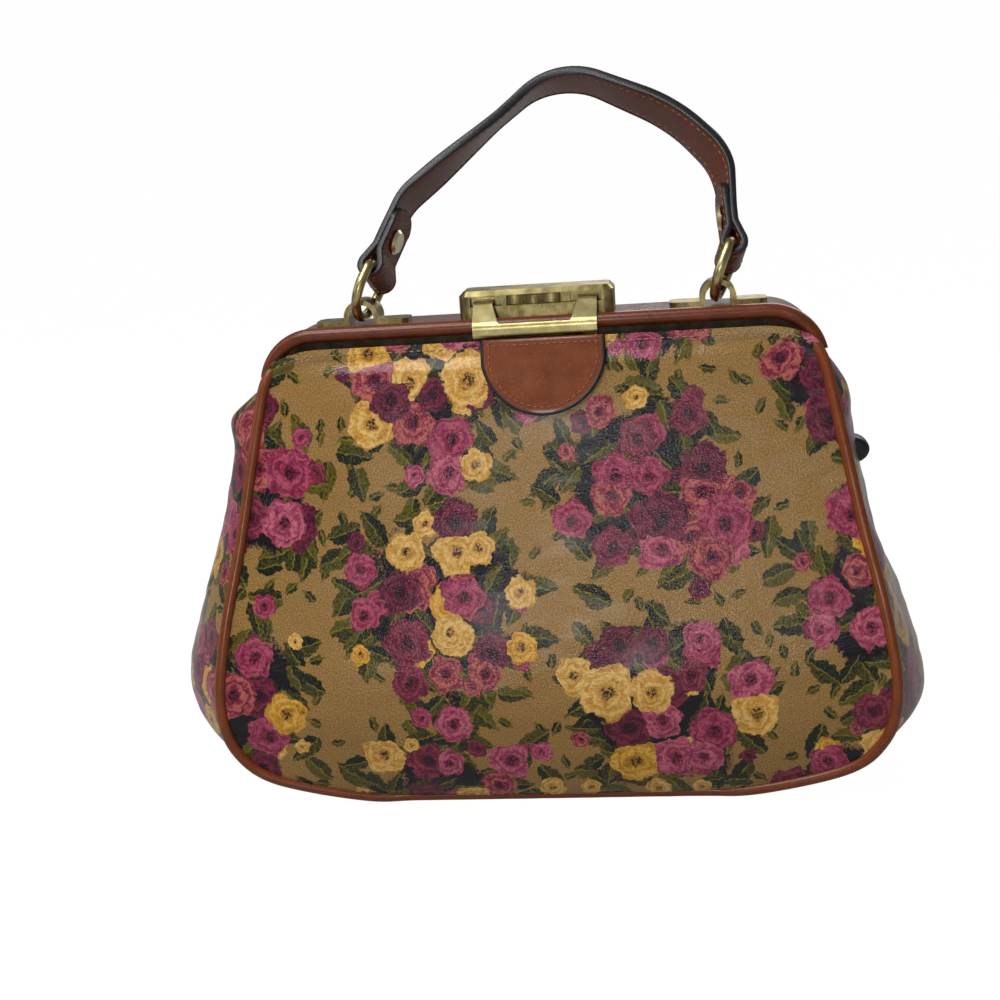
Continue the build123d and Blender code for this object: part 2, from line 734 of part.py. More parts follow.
def strap_rivet(bar_x, leg_angle, outward):
    """Rivet through the two thicknesses of a folded strap end."""
    spot = end_point(bar_x, leg_angle, outward, stack_low, rivet_reach)
    far = end_point(bar_x, leg_angle, outward, stack_high, rivet_reach)
    start = handle_plane.from_local_coords((*spot, 0))
    finish = handle_plane.from_local_coords((*far, 0))
    with BuildPart() as rivet:
        with BuildSketch(Plane(origin=start, z_dir=finish - start)):
            Circle(rivet_shank)
        extrude(amount=stack_high - stack_low)
        with BuildSketch(Plane(origin=start, z_dir=start - finish)):
            Circle(rivet_cap)
        extrude(amount=rivet_dome, taper=rivet_taper)
        with BuildSketch(Plane(origin=finish, z_dir=finish - start)):
            Circle(rivet_cap)
        extrude(amount=rivet_dome, taper=rivet_taper)
    return rivet


left_strap_rivet = strap_rivet(*left_end)
right_strap_rivet = strap_rivet(*right_end)
for layer in (strap_outer_leather, strap_lining_leather):
    with layer:
        add(left_strap_rivet.part, mode=Mode.SUBTRACT)
        add(right_strap_rivet.part, mode=Mode.SUBTRACT)


def keeper_wall(z):
    """Place across of the right gusset's middle at a height."""
    return level_at(z, 1) + level_at(z, 5)


with BuildPart() as right_keeper:
    with BuildSketch(Plane.XZ.offset(-keeper_width / 2)):
        for shrink, mode in ((0.0, Mode.ADD), (keeper_leather, Mode.SUBTRACT)):
            low_z = keeper_z - keeper_half + shrink
            high_z = keeper_z + keeper_half - shrink
            low = (keeper_wall(low_z) - keeper_root, low_z)
            high = (keeper_wall(high_z) - keeper_root, high_z)
            with BuildLine():
                ThreePointArc(low, (keeper_wall(keeper_z) + keeper_out - shrink, keeper_z), high)
                Line(high, low)
            make_face(mode=mode)
    extrude(amount=keeper_width)
    add(body_form.part, mode=Mode.SUBTRACT)

pieces = {
    "front_panel": front_panel,
    "rear_panel": rear_panel,
    "left_gusset": left_gusset,
    "right_gusset": right_gusset,
    "base_panel": base_panel,
    "base_board": base_board,
    "lining": lining,
    "front_piping": front_piping,
    "rear_piping": rear_piping,
    "right_keeper": right_keeper,
    "rear_jaw": rear_jaw,
    "frame_cover": frame_cover,
    "rear_facing": rear_facing,
    "front_jaw": front_jaw,
    "front_roll": front_roll,
    "front_facing": front_facing,
    "left_hinge_pin": left_hinge_pin,
    "right_hinge_pin": right_hinge_pin,
    "lock_lower_shell": lock_lower_shell,
    "lock_upper_shell": lock_upper_shell,
    "lock_rivets": lock_rivets,
    "lock_slider": lock_slider,
    "latch_bar": latch_bar,
    "hasp": hasp,
    "clasp_tab": clasp_tab,
    "left_bridge": left_bridge,
    "right_bridge": right_bridge,
    "left_bridge_rivets": left_bridge_rivets,
    "right_bridge_rivets": right_bridge_rivets,
    "left_ring": left_ring,
    "right_ring": right_ring,
    "strap_outer_leather": strap_outer_leather,
    "strap_lining_leather": strap_lining_leather,
    "left_strap_rivet": left_strap_rivet,
    "right_strap_rivet": right_strap_rivet,
}
for name, piece in pieces.items():
    piece.part.label = name
    export_step(piece.part, f"parts/{name}.step")
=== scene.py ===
"""Visual model of a frame handbag of flower printed leather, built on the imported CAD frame."""

import logging
import math
from dataclasses import dataclass
from enum import Enum
from typing import Any, Callable, Sequence

import bpy
import numpy as np
from mathutils import Matrix, Vector, noise


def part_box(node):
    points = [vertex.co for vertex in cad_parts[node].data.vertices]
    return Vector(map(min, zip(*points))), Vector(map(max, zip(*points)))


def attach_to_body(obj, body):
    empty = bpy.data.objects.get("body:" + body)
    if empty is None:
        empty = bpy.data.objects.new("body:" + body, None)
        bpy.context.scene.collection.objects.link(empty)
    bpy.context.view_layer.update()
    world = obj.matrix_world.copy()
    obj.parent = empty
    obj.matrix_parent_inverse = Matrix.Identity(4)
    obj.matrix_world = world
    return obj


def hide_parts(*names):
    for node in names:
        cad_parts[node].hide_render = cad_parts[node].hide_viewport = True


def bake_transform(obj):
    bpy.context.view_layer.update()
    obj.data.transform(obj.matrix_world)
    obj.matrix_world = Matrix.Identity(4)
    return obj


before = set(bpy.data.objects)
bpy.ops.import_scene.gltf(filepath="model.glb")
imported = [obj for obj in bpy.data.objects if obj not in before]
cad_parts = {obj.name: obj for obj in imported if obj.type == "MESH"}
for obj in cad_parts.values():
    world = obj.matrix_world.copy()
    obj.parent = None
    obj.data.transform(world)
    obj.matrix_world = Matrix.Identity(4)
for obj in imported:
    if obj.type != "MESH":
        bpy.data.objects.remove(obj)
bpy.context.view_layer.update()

LOG = logging.getLogger("bag")
MM = 0.001
SHARP_ANGLE = 50.0
UV_MAP = "print"


class Body(str, Enum):
    """CAD bodies that a piece can ride on."""

    BAG = "bag"
    FRONT = "front_frame"
    HANDLE = "handle"


class Slot(str, Enum):
    """Names of material slots."""

    PRINT = "printed_leather"
    CHESTNUT = "chestnut_leather"
    STRAP_LINING = "lining_leather"
    CLOTH = "lining_cloth"
    PAINT = "edge_paint"
    THREAD = "stitch_thread"


# Shader node helpers


def linear(colour: tuple[float, float, float]) -> tuple[float, float, float, float]:
    """Turn an sRGB colour into a linear one.

    Args:
        colour: Red, green and blue from 0 to 255.

    Returns:
        Linear red, green, blue and alpha.
    """
    parts = []
    for part in colour:
        level = part / 255
        parts.append(level / 12.92 if level <= 0.04045 else ((level + 0.055) / 1.055) ** 2.4)
    return (*parts, 1.0)


class Sock:
    """One output socket of a shader tree, with arithmetic that makes Math nodes."""

    def __init__(self, shader: "Shader", socket: bpy.types.NodeSocket) -> None:
        """Hold a socket of a shader's tree."""
        self.shader = shader
        self.socket = socket

    def math(self, operation: str, *others: Any, clamp: bool = False) -> "Sock":
        """Make a Math node with this socket first.

        Args:
            operation: Name of the operation.
            others: The other operands.
            clamp: Whether the result is kept from 0 to 1.

        Returns:
            The node's result.
        """
        return self.shader.math(operation, self, *others, clamp=clamp)

    def __add__(self, other: Any) -> "Sock":
        """Add another value."""
        return self.math("ADD", other)

    def __radd__(self, other: Any) -> "Sock":
        """Add this socket to a number."""
        return self.shader.math("ADD", other, self)

    def __sub__(self, other: Any) -> "Sock":
        """Take another value away."""
        return self.math("SUBTRACT", other)

    def __rsub__(self, other: Any) -> "Sock":
        """Take this socket away from a number."""
        return self.shader.math("SUBTRACT", other, self)

    def __mul__(self, other: Any) -> "Sock":
        """Multiply by another value."""
        return self.math("MULTIPLY", other)

    def __rmul__(self, other: Any) -> "Sock":
        """Multiply a number by this socket."""
        return self.shader.math("MULTIPLY", other, self)

    def __truediv__(self, other: Any) -> "Sock":
        """Divide by another value."""
        return self.math("DIVIDE", other)

    def __rtruediv__(self, other: Any) -> "Sock":
        """Divide a number by this socket."""
        return self.shader.math("DIVIDE", other, self)

    def __abs__(self) -> "Sock":
        """Drop the sign."""
        return self.math("ABSOLUTE")

    def step(self, low: float, high: float) -> "Sock":
        """Rise smoothly from 0 at low to 1 at high, or fall where high is below low.

        Args:
            low: Value that gives 0.
            high: Value that gives 1.

        Returns:
            The eased share.
        """
        falls = high < low
        ends = (1.0, 0.0) if falls else (0.0, 1.0)
        node = self.shader.make(
            "ShaderNodeMapRange",
            {"interpolation_type": "SMOOTHSTEP"},
            {"Value": self, "From Min": min(low, high), "From Max": max(low, high),
             "To Min": ends[0], "To Max": ends[1]},
        )
        return node("Result")


class Made:
    """A finished node, called with an output's name to give that output."""

    def __init__(self, shader: "Shader", node: bpy.types.Node) -> None:
        """Hold a node of a shader's tree."""
        self.shader = shader
        self.node = node

    def __call__(self, name: str) -> Sock:
        """Give the enabled output of a name."""
        found = [s for s in self.node.outputs if name in (s.identifier, s.name) and s.enabled]
        return Sock(self.shader, found[0])


class Shader:
    """Node tree of one material."""

    def __init__(self, name: str) -> None:
        """Start a material with an empty tree."""
        self.material = bpy.data.materials.new(name)
        self.material.use_nodes = True
        self.tree = self.material.node_tree
        self.tree.nodes.clear()

    def make(self, kind: str, settings: dict[str, Any] | None = None,
             inputs: dict[str, Any] | None = None) -> Made:
        """Make any node: its settings first, then its inputs.

        Args:
            kind: Node type.
            settings: Values of the node's own properties.
            inputs: Values or sockets by input name.

        Returns:
            The node.
        """
        node = self.tree.nodes.new(kind)
        for key, value in (settings or {}).items():
            setattr(node, key, value)
        for key, value in (inputs or {}).items():
            found = [s for s in node.inputs if key in (s.identifier, s.name) and s.enabled]
            self.feed(found[0], value)
        return Made(self, node)

    def feed(self, target: bpy.types.NodeSocket, value: Any) -> None:
        """Link a socket to an input, or set the input to a constant.

        Args:
            target: The input.
            value: Sock or constant.
        """
        if isinstance(value, Sock):
            self.tree.links.new(value.socket, target)
        elif target.type == "RGBA" and len(value) == 3:
            target.default_value = (*value, 1.0)
        else:
            target.default_value = value

    def math(self, operation: str, *values: Any, clamp: bool = False) -> Sock:
        """Make a Math node.

        Args:
            operation: Name of the operation.
            values: One to three operands.
            clamp: Whether the result is kept from 0 to 1.

        Returns:
            The result.
        """
        node = self.tree.nodes.new("ShaderNodeMath")
        node.operation = operation
        node.use_clamp = clamp
        for target, value in zip(node.inputs, values):
            self.feed(target, value)
        return Sock(self, node.outputs[0])

    def vector(self, operation: str, *values: Any, scale: Any = None) -> Sock:
        """Make a Vector Math node.

        Args:
            operation: Name of the operation.
            values: Vector operands.
            scale: The scale input where the operation has one.

        Returns:
            The vector, or the number for a length or dot product.
        """
        node = self.tree.nodes.new("ShaderNodeVectorMath")
        node.operation = operation
        for target, value in zip(node.inputs, values):
            self.feed(target, value)
        if scale is not None:
            self.feed(node.inputs["Scale"], scale)
        number = operation in ("LENGTH", "DOT_PRODUCT", "DISTANCE")
        return Sock(self, node.outputs["Value" if number else "Vector"])

    def mix(self, share: Any, first: Any, second: Any) -> Sock:
        """Mix two colours.

        Args:
            share: Share of the second colour.
            first: First colour.
            second: Second colour.

        Returns:
            The mixed colour.
        """
        node = self.make("ShaderNodeMix", {"data_type": "RGBA", "blend_type": "MIX"},
                         {"Factor_Float": share, "A_Color": first, "B_Color": second})
        return node("Result_Color")

    def parts(self, vector: Sock) -> tuple[Sock, Sock, Sock]:
        """Split a vector or a colour into its three numbers.

        Args:
            vector: The vector.

        Returns:
            Its three numbers.
        """
        node = self.make("ShaderNodeSeparateXYZ", None, {"Vector": vector})
        return node("X"), node("Y"), node("Z")

    def join(self, x: Any, y: Any, z: Any = 0.0) -> Sock:
        """Make a vector of three numbers.

        Args:
            x: First number.
            y: Second number.
            z: Third number.

        Returns:
            The vector.
        """
        return self.make("ShaderNodeCombineXYZ", None, {"X": x, "Y": y, "Z": z})("Vector")

    def noise(self, vector: Sock, size: float, detail: float = 2.0, rough: float = 0.5,
              warp: float = 0.0) -> Sock:
        """Noise with features of about a size in the vector's units.

        Args:
            vector: Where.
            size: Feature size.
            detail: Octaves.
            rough: Share of the finer octaves.
            warp: Distortion.

        Returns:
            A number around 0.5.
        """
        node = self.make("ShaderNodeTexNoise", {"noise_dimensions": "3D"},
                         {"Vector": vector, "Scale": 1 / size, "Detail": detail,
                          "Roughness": rough, "Distortion": warp})
        return node("Fac")

    def cells(self, vector: Sock, size: float, randomness: float = 1.0, dimensions: str = "2D") -> Made:
        """Voronoi cells of a size, in units of one cell.

        Args:
            vector: Where.
            size: Cell size.
            randomness: How far the cells stray from a grid.
            dimensions: 2D or 3D.

        Returns:
            The node.
        """
        scaled = self.vector("SCALE", vector, scale=1 / size)
        return self.make("ShaderNodeTexVoronoi", {"feature": "F1", "voronoi_dimensions": dimensions},
                         {"Vector": scaled, "Scale": 1.0, "Randomness": randomness})

    def place(self, scale: float = 1000.0) -> Sock:
        """Object coordinates, in millimetres.

        Args:
            scale: Units in a metre.

        Returns:
            The place.
        """
        coords = self.make("ShaderNodeTexCoord")("Object")
        return self.vector("SCALE", coords, scale=scale)

    def uv(self) -> Sock:
        """The sheet's UV map, which is held in metres, in millimetres.

        Returns:
            The place on the sheet.
        """
        return self.vector("SCALE", self.make("ShaderNodeUVMap", {"uv_map": UV_MAP})("UV"), scale=1000.0)

    def surface(self, inputs: dict[str, Any], height: Sock | None = None, depth: float = 0.0001) -> None:
        """Finish the material with a Principled shader and a bump.

        Args:
            inputs: Inputs of the Principled shader.
            height: Height of the relief, from 0 to 1.
            depth: Depth of the relief in metres.
        """
        if height is not None:
            bump = self.make("ShaderNodeBump", None, {"Height": height, "Distance": depth, "Strength": 1.0})
            inputs = {**inputs, "Normal": bump("Normal")}
        shader = self.make("ShaderNodeBsdfPrincipled", None, inputs)
        self.make("ShaderNodeOutputMaterial", None, {"Surface": shader("BSDF")})


# Finishes


@dataclass(frozen=True)
class Blossom:
    """Three shades of one flower colour."""

    dark: tuple[float, float, float]
    middle: tuple[float, float, float]
    light: tuple[float, float, float]


@dataclass(frozen=True)
class PrintColours:
    """Colours of the flower print, in sRGB from 0 to 255."""

    ground: tuple[float, float, float] = (128, 92, 40)
    ground_light: tuple[float, float, float] = (174, 138, 82)
    shade: tuple[float, float, float] = (24, 8, 26)
    shade_green: tuple[float, float, float] = (14, 18, 18)
    leaf_dark: tuple[float, float, float] = (20, 28, 18)
    leaf_light: tuple[float, float, float] = (98, 88, 20)
    vein: tuple[float, float, float] = (138, 122, 44)
    speck: tuple[float, float, float] = (32, 12, 22)
    blossoms: tuple[Blossom, ...] = (
        Blossom((50, 10, 34), (132, 36, 68), (180, 82, 106)),
        Blossom((26, 6, 24), (74, 18, 42), (126, 42, 62)),
        Blossom((112, 66, 10), (190, 132, 30), (226, 178, 78)),
        Blossom((72, 16, 42), (148, 50, 82), (196, 106, 122)),
        Blossom((36, 8, 30), (96, 24, 50), (146, 58, 74)),
        Blossom((124, 78, 22), (198, 144, 58), (230, 190, 112)),
        Blossom((56, 8, 32), (126, 30, 58), (186, 104, 92)),
    )


@dataclass(frozen=True)
class PrintSizes:
    """Sizes of the flower print, in millimetres."""

    repeat: float = 98.0
    bouquet: float = 37.0
    stray: float = 34.0
    rose_cell: float = 18.5
    leaf_cell: float = 16.5
    bud_cell: float = 25.0
    wobble: float = 3.4
    mottle: float = 1.4
    blot: float = 6.0
    grain: float = 0.65
    pebble: float = 1.05
    crease: float = 7.0
    wear: float = 26.0


class FlowerPrint:
    """Bouquets of roses and leaves, worked out in the shader from cells and noise."""

    def __init__(self, shader: Shader, place: Sock, sizes: PrintSizes, colours: PrintColours) -> None:
        """Make the noises that every layer of the print shares."""
        self.shader = shader
        self.sizes = sizes
        self.colours = colours
        wobble = shader.make("ShaderNodeTexNoise", None, {"Vector": place, "Scale": 0.35, "Detail": 3.0})
        shift = shader.vector("SUBTRACT", wobble("Color"), (0.5, 0.5, 0.5))
        self.place = shader.vector("ADD", place, shader.vector("SCALE", shift, scale=sizes.wobble))
        self.mottle = shader.noise(place, sizes.mottle, detail=3.0, rough=0.7)
        self.blot = shader.noise(place, sizes.blot, detail=2.0, rough=0.5)
        self.grain = shader.noise(place, sizes.grain, detail=2.0, rough=0.6)

    def bouquet(self, spot: Sock) -> Sock:
        """Distance from the middle of the nearest bouquet, in a half drop repeat.

        Args:
            spot: Place on the sheet in millimetres.

        Returns:
            Distance in millimetres, uneven like a bunch.
        """
        x, y, _ = self.shader.parts(spot)
        column = (x / self.sizes.repeat).math("FLOOR")
        drop = column.math("MODULO", 2.0).math("ABSOLUTE") * (self.sizes.repeat * 0.5)
        local_x = (x / self.sizes.repeat).math("FRACT") - 0.5
        local_y = ((y + drop) / self.sizes.repeat).math("FRACT") - 0.5
        far = self.shader.vector("LENGTH", self.shader.join(local_x, local_y * 0.92)) * self.sizes.repeat
        uneven = self.shader.noise(spot, 34.0, detail=1.0) - 0.5
        return far + uneven * (2 * self.sizes.stray)

    def scattered(self, size: float, offset: float, randomness: float) -> tuple[Sock, Sock, Sock, Sock]:
        """Cells that each hold one motif.

        Args:
            size: Cell size in millimetres.
            offset: Shift that sets one layer apart from another.
            randomness: How far the motifs stray.

        Returns:
            Place from the motif's middle in millimetres, the middle, and two random numbers.
        """
        shifted = self.shader.vector("ADD", self.place, (offset, offset * 1.7, 0.0))
        cell = self.shader.cells(shifted, size, randomness=randomness)
        middle = self.shader.vector("SCALE", cell("Position"), scale=size)
        local = self.shader.vector("SUBTRACT", shifted, middle)
        centre = self.shader.vector("SUBTRACT", middle, (offset, offset * 1.7, 0.0))
        red, green, _ = self.shader.parts(cell("Color"))
        return local, centre, red, green

    def palette(self, pick: Sock) -> tuple[Sock, Sock, Sock]:
        """Dark, middle and light shade of a flower picked by a random number.

        Args:
            pick: Random number from 0 to 1.

        Returns:
            The three colours.
        """
        made = []
        blossoms = self.colours.blossoms
        for field in ("dark", "middle", "light"):
            node = self.shader.make("ShaderNodeValToRGB", None, {"Fac": pick})
            ramp = node.node.color_ramp
            ramp.interpolation = "CONSTANT"
            for index, blossom in enumerate(blossoms):
                stop = ramp.elements[index] if index < 2 else ramp.elements.new(index / len(blossoms))
                stop.position = index / len(blossoms)
                stop.color = linear(getattr(blossom, field))
            made.append(node("Color"))
        return made[0], made[1], made[2]

    def roses(self, under: Sock, size: float, offset: float, reach: float, least: float,
              spread: float) -> Sock:
        """Lay one layer of roses over a colour.

        Args:
            under: Colour below.
            size: Cell size in millimetres.
            offset: Shift of the layer.
            reach: How far from a bouquet's middle a rose may stand.
            least: Smallest radius as a share of the cell.
            spread: Range of radii as a share of the cell.

        Returns:
            The colour with the roses.
        """
        shader = self.shader
        local, centre, first, second = self.scattered(size, offset, 0.62)
        x, y, _ = shader.parts(local)
        radius = (first * spread + least) * size
        angle = shader.math("ARCTAN2", y, x) + first * 6.28
        far = shader.vector("LENGTH", local) / radius
        scallop = (angle * 2.5).math("SINE").math("ABSOLUTE") * 0.16
        edge = far + 0.12 - scallop + (self.mottle - 0.5) * 0.30 + (self.blot - 0.5) * 0.5
        kept = self.bouquet(centre).step(reach + 0.02, reach)
        mask = edge.step(1.0, 0.93) * kept
        turn = angle / 6.2832
        swirl = (far * 2.7 + turn + (self.blot - 0.5) * 2.2 + (self.mottle - 0.5) * 0.6).math("FRACT")
        fold = swirl.math("POWER", 0.8)
        eye = far.step(0.10, 0.42)
        shade = fold * 0.55 + 0.34 + (self.mottle - 0.5) * 1.3 + (self.blot - 0.5) * 0.9
        shade = (shade * (eye * 0.62 + 0.38)).math("ADD", 0.0, clamp=True)
        dark, middle, light = self.palette(second)
        colour = shader.mix(shade.step(0.02, 0.46), dark, middle)
        colour = shader.mix(shade.step(0.44, 0.98), colour, light)
        speckle = self.mottle.step(0.53, 0.47) * far.step(0.30, 0.16)
        colour = shader.mix(speckle, colour, linear(self.colours.speck))
        return shader.mix(mask, under, colour)

    def leaves(self, under: Sock, size: float, offset: float, inner: float, outer: float,
               long: float) -> Sock:
        """Lay one layer of leaves over a colour.

        Args:
            under: Colour below.
            size: Cell size in millimetres.
            offset: Shift of the layer.
            inner: Least distance from a bouquet's middle.
            outer: Greatest distance from a bouquet's middle.
            long: Half length as a share of the cell.

        Returns:
            The colour with the leaves.
        """
        shader, tones = self.shader, self.colours
        local, centre, first, second = self.scattered(size, offset, 0.8)
        turned = shader.make("ShaderNodeVectorRotate", {"rotation_type": "Z_AXIS"},
                             {"Vector": local, "Angle": first * 6.2832})("Vector")
        x, y, _ = shader.parts(turned)
        half = size * long
        along = x / half
        width = (1.0 - along * along) * (half * 0.44) * (1.0 - along * 0.35)
        serrate = (x * 1.9).math("SINE") * 0.30
        inside = (width - abs(y) + serrate * 0.6 + (self.mottle - 0.5) * 1.6).step(-0.25, 0.25)
        inside = inside * abs(along).step(1.02, 0.98)
        away = self.bouquet(centre)
        kept = away.step(outer + 0.02, outer) * away.step(inner - 0.02, inner)
        half_tone = y.step(-0.4, 0.4)
        vein = (abs((abs(y) - x * 0.8) * 0.55).math("FRACT") - 0.5).math("ABSOLUTE")
        tone = half_tone * 0.30 + second * 0.40 + (self.mottle - 0.5) * 1.9 + vein * 0.4 - 0.06
        colour = shader.mix(tone.step(0.1, 0.85), linear(tones.leaf_dark), linear(tones.leaf_light))
        colour = shader.mix(abs(y).step(0.45, 0.1) * 0.7, colour, linear(tones.vein))
        return shader.mix(inside * kept, under, colour)

    def colour(self) -> Sock:
        """The whole print.

        Returns:
            Its colour.
        """
        shader, tones, sizes = self.shader, self.colours, self.sizes
        ground = shader.mix(self.grain.step(0.32, 0.70), linear(tones.ground), linear(tones.ground_light))
        bunch, reach = self.bouquet(self.place), sizes.bouquet
        ground = self.leaves(ground, sizes.leaf_cell * 0.62, 31.0, reach + 7, reach + 17, 0.42)
        ground = self.leaves(ground, sizes.leaf_cell, 3.0, 0.0, reach + 12, 0.62)
        deep = shader.mix(self.mottle.step(0.4, 0.6), linear(tones.shade), linear(tones.shade_green))
        under = (bunch + (self.mottle - 0.5) * 14.0).step(reach - 3, reach - 7)
        ground = shader.mix(under, ground, deep)
        ground = self.leaves(ground, sizes.leaf_cell * 0.8, 57.0, 0.0, reach + 6, 0.62)
        ground = self.roses(ground, sizes.bud_cell, 91.0, reach + 13, 0.14, 0.12)
        ground = self.roses(ground, sizes.rose_cell, 11.0, reach, 0.40, 0.26)
        return self.roses(ground, sizes.rose_cell * 1.5, 73.0, reach - 9, 0.26, 0.24)


def printed_leather(name: str, sizes: PrintSizes, colours: PrintColours) -> bpy.types.Material:
    """Glossy leather with a flower print.

    Args:
        name: Name of the material.
        sizes: Sizes of the print.
        colours: Colours of the print.

    Returns:
        The material.
    """
    shader = Shader(name)
    sheet = shader.uv()
    pattern = FlowerPrint(shader, sheet, sizes, colours)
    pebble = shader.cells(sheet, sizes.pebble, randomness=0.9)("Distance")
    crease = shader.noise(sheet, sizes.crease, detail=4.0, rough=0.55, warp=0.6)
    height = pebble * 0.45 + pattern.grain * 0.3 + crease * 1.4
    worn = shader.noise(sheet, sizes.wear, detail=2.0)
    shader.surface(
        {"Base Color": pattern.colour(), "Roughness": worn * 0.18 + 0.13, "Specular IOR Level": 0.3,
         "Coat Weight": worn * 0.12 + 0.04, "Coat Roughness": 0.2},
        height, 0.00024)
    return shader.material


@dataclass(frozen=True)
class LeatherFinish:
    """Plain glossy leather, colours in sRGB."""

    name: str
    base: tuple[float, float, float]
    dark: tuple[float, float, float]
    light: tuple[float, float, float]
    roughness: float = 0.34
    coat: float = 0.22
    grain: float = 0.9
    wrinkle: float = 5.0
    depth: float = 0.00012

    def build(self) -> bpy.types.Material:
        """Make the material.

        Returns:
            The material.
        """
        shader = Shader(self.name)
        place = shader.place()
        cloud = shader.noise(place, 9.0, detail=4.0, rough=0.6)
        fine = shader.noise(place, 0.5, detail=2.0)
        pores = shader.cells(place, self.grain, dimensions="3D")("Distance")
        colour = shader.mix(cloud.step(0.15, 0.7), linear(self.dark), linear(self.base))
        colour = shader.mix(fine.step(0.52, 0.8), colour, linear(self.light))
        folds = shader.noise(place, self.wrinkle, detail=3.0, warp=1.2)
        height = pores * 0.4 + folds * 0.6 + fine * 0.2
        shader.surface(
            {"Base Color": colour, "Roughness": cloud * 0.2 + (self.roughness - 0.1),
             "Specular IOR Level": 0.35, "Coat Weight": self.coat, "Coat Roughness": 0.14},
            height, self.depth)
        return shader.material


@dataclass(frozen=True)
class MetalFinish:
    """Brushed plated metal, colours in sRGB."""

    name: str
    base: tuple[float, float, float]
    dark: tuple[float, float, float]
    bright: tuple[float, float, float]
    roughness: float = 0.3
    brush: tuple[float, float, float] = (1.0, 1.0, 0.06)

    def build(self) -> bpy.types.Material:
        """Make the material.

        Returns:
            The material.
        """
        shader = Shader(self.name)
        place = shader.place()
        streaks = shader.vector("MULTIPLY", place, self.brush)
        lines = shader.noise(streaks, 0.16, detail=3.0, rough=0.7)
        cloud = shader.noise(place, 6.0, detail=3.0)
        colour = shader.mix(cloud.step(0.35, 0.7), linear(self.dark), linear(self.base))
        colour = shader.mix(lines.step(0.5, 0.8), colour, linear(self.bright))
        shader.surface(
            {"Base Color": colour, "Metallic": 1.0, "Roughness": lines * 0.22 + (self.roughness - 0.08)},
            lines, 0.00002)
        return shader.material


@dataclass(frozen=True)
class ClothFinish:
    """Plain woven cloth or board, colours in sRGB."""

    name: str
    warp: tuple[float, float, float]
    weft: tuple[float, float, float]
    pitch: float = 0.7
    roughness: float = 0.85

    def build(self) -> bpy.types.Material:
        """Make the material.

        Returns:
            The material.
        """
        shader = Shader(self.name)
        x, y, z = shader.parts(shader.place())
        first = ((x + y) * (math.pi / self.pitch)).math("SINE")
        second = (z * (math.pi / self.pitch)).math("SINE")
        weave = first * second * 0.5 + 0.5
        fuzz = shader.noise(shader.place(), 0.8, detail=3.0)
        colour = shader.mix(weave.step(0.2, 0.8), linear(self.warp), linear(self.weft))
        shader.surface({"Base Color": colour, "Roughness": self.roughness, "Sheen Weight": 0.2},
                       weave * 0.6 + fuzz * 0.4, 0.0001)
        return shader.material


@dataclass(frozen=True)
class PaintFinish:
    """Thick paint or waxed thread, colours in sRGB."""

    name: str
    base: tuple[float, float, float]
    light: tuple[float, float, float]
    roughness: float = 0.3
    size: float = 2.0
    coat: float = 0.3

    def build(self) -> bpy.types.Material:
        """Make the material.

        Returns:
            The material.
        """
        shader = Shader(self.name)
        place = shader.place()
        cloud = shader.noise(place, self.size, detail=3.0)
        colour = shader.mix(cloud.step(0.4, 0.75), linear(self.base), linear(self.light))
        shader.surface({"Base Color": colour, "Roughness": cloud * 0.25 + (self.roughness - 0.1),
                        "Coat Weight": self.coat, "Coat Roughness": 0.2}, cloud, 0.00008)
        return shader.material


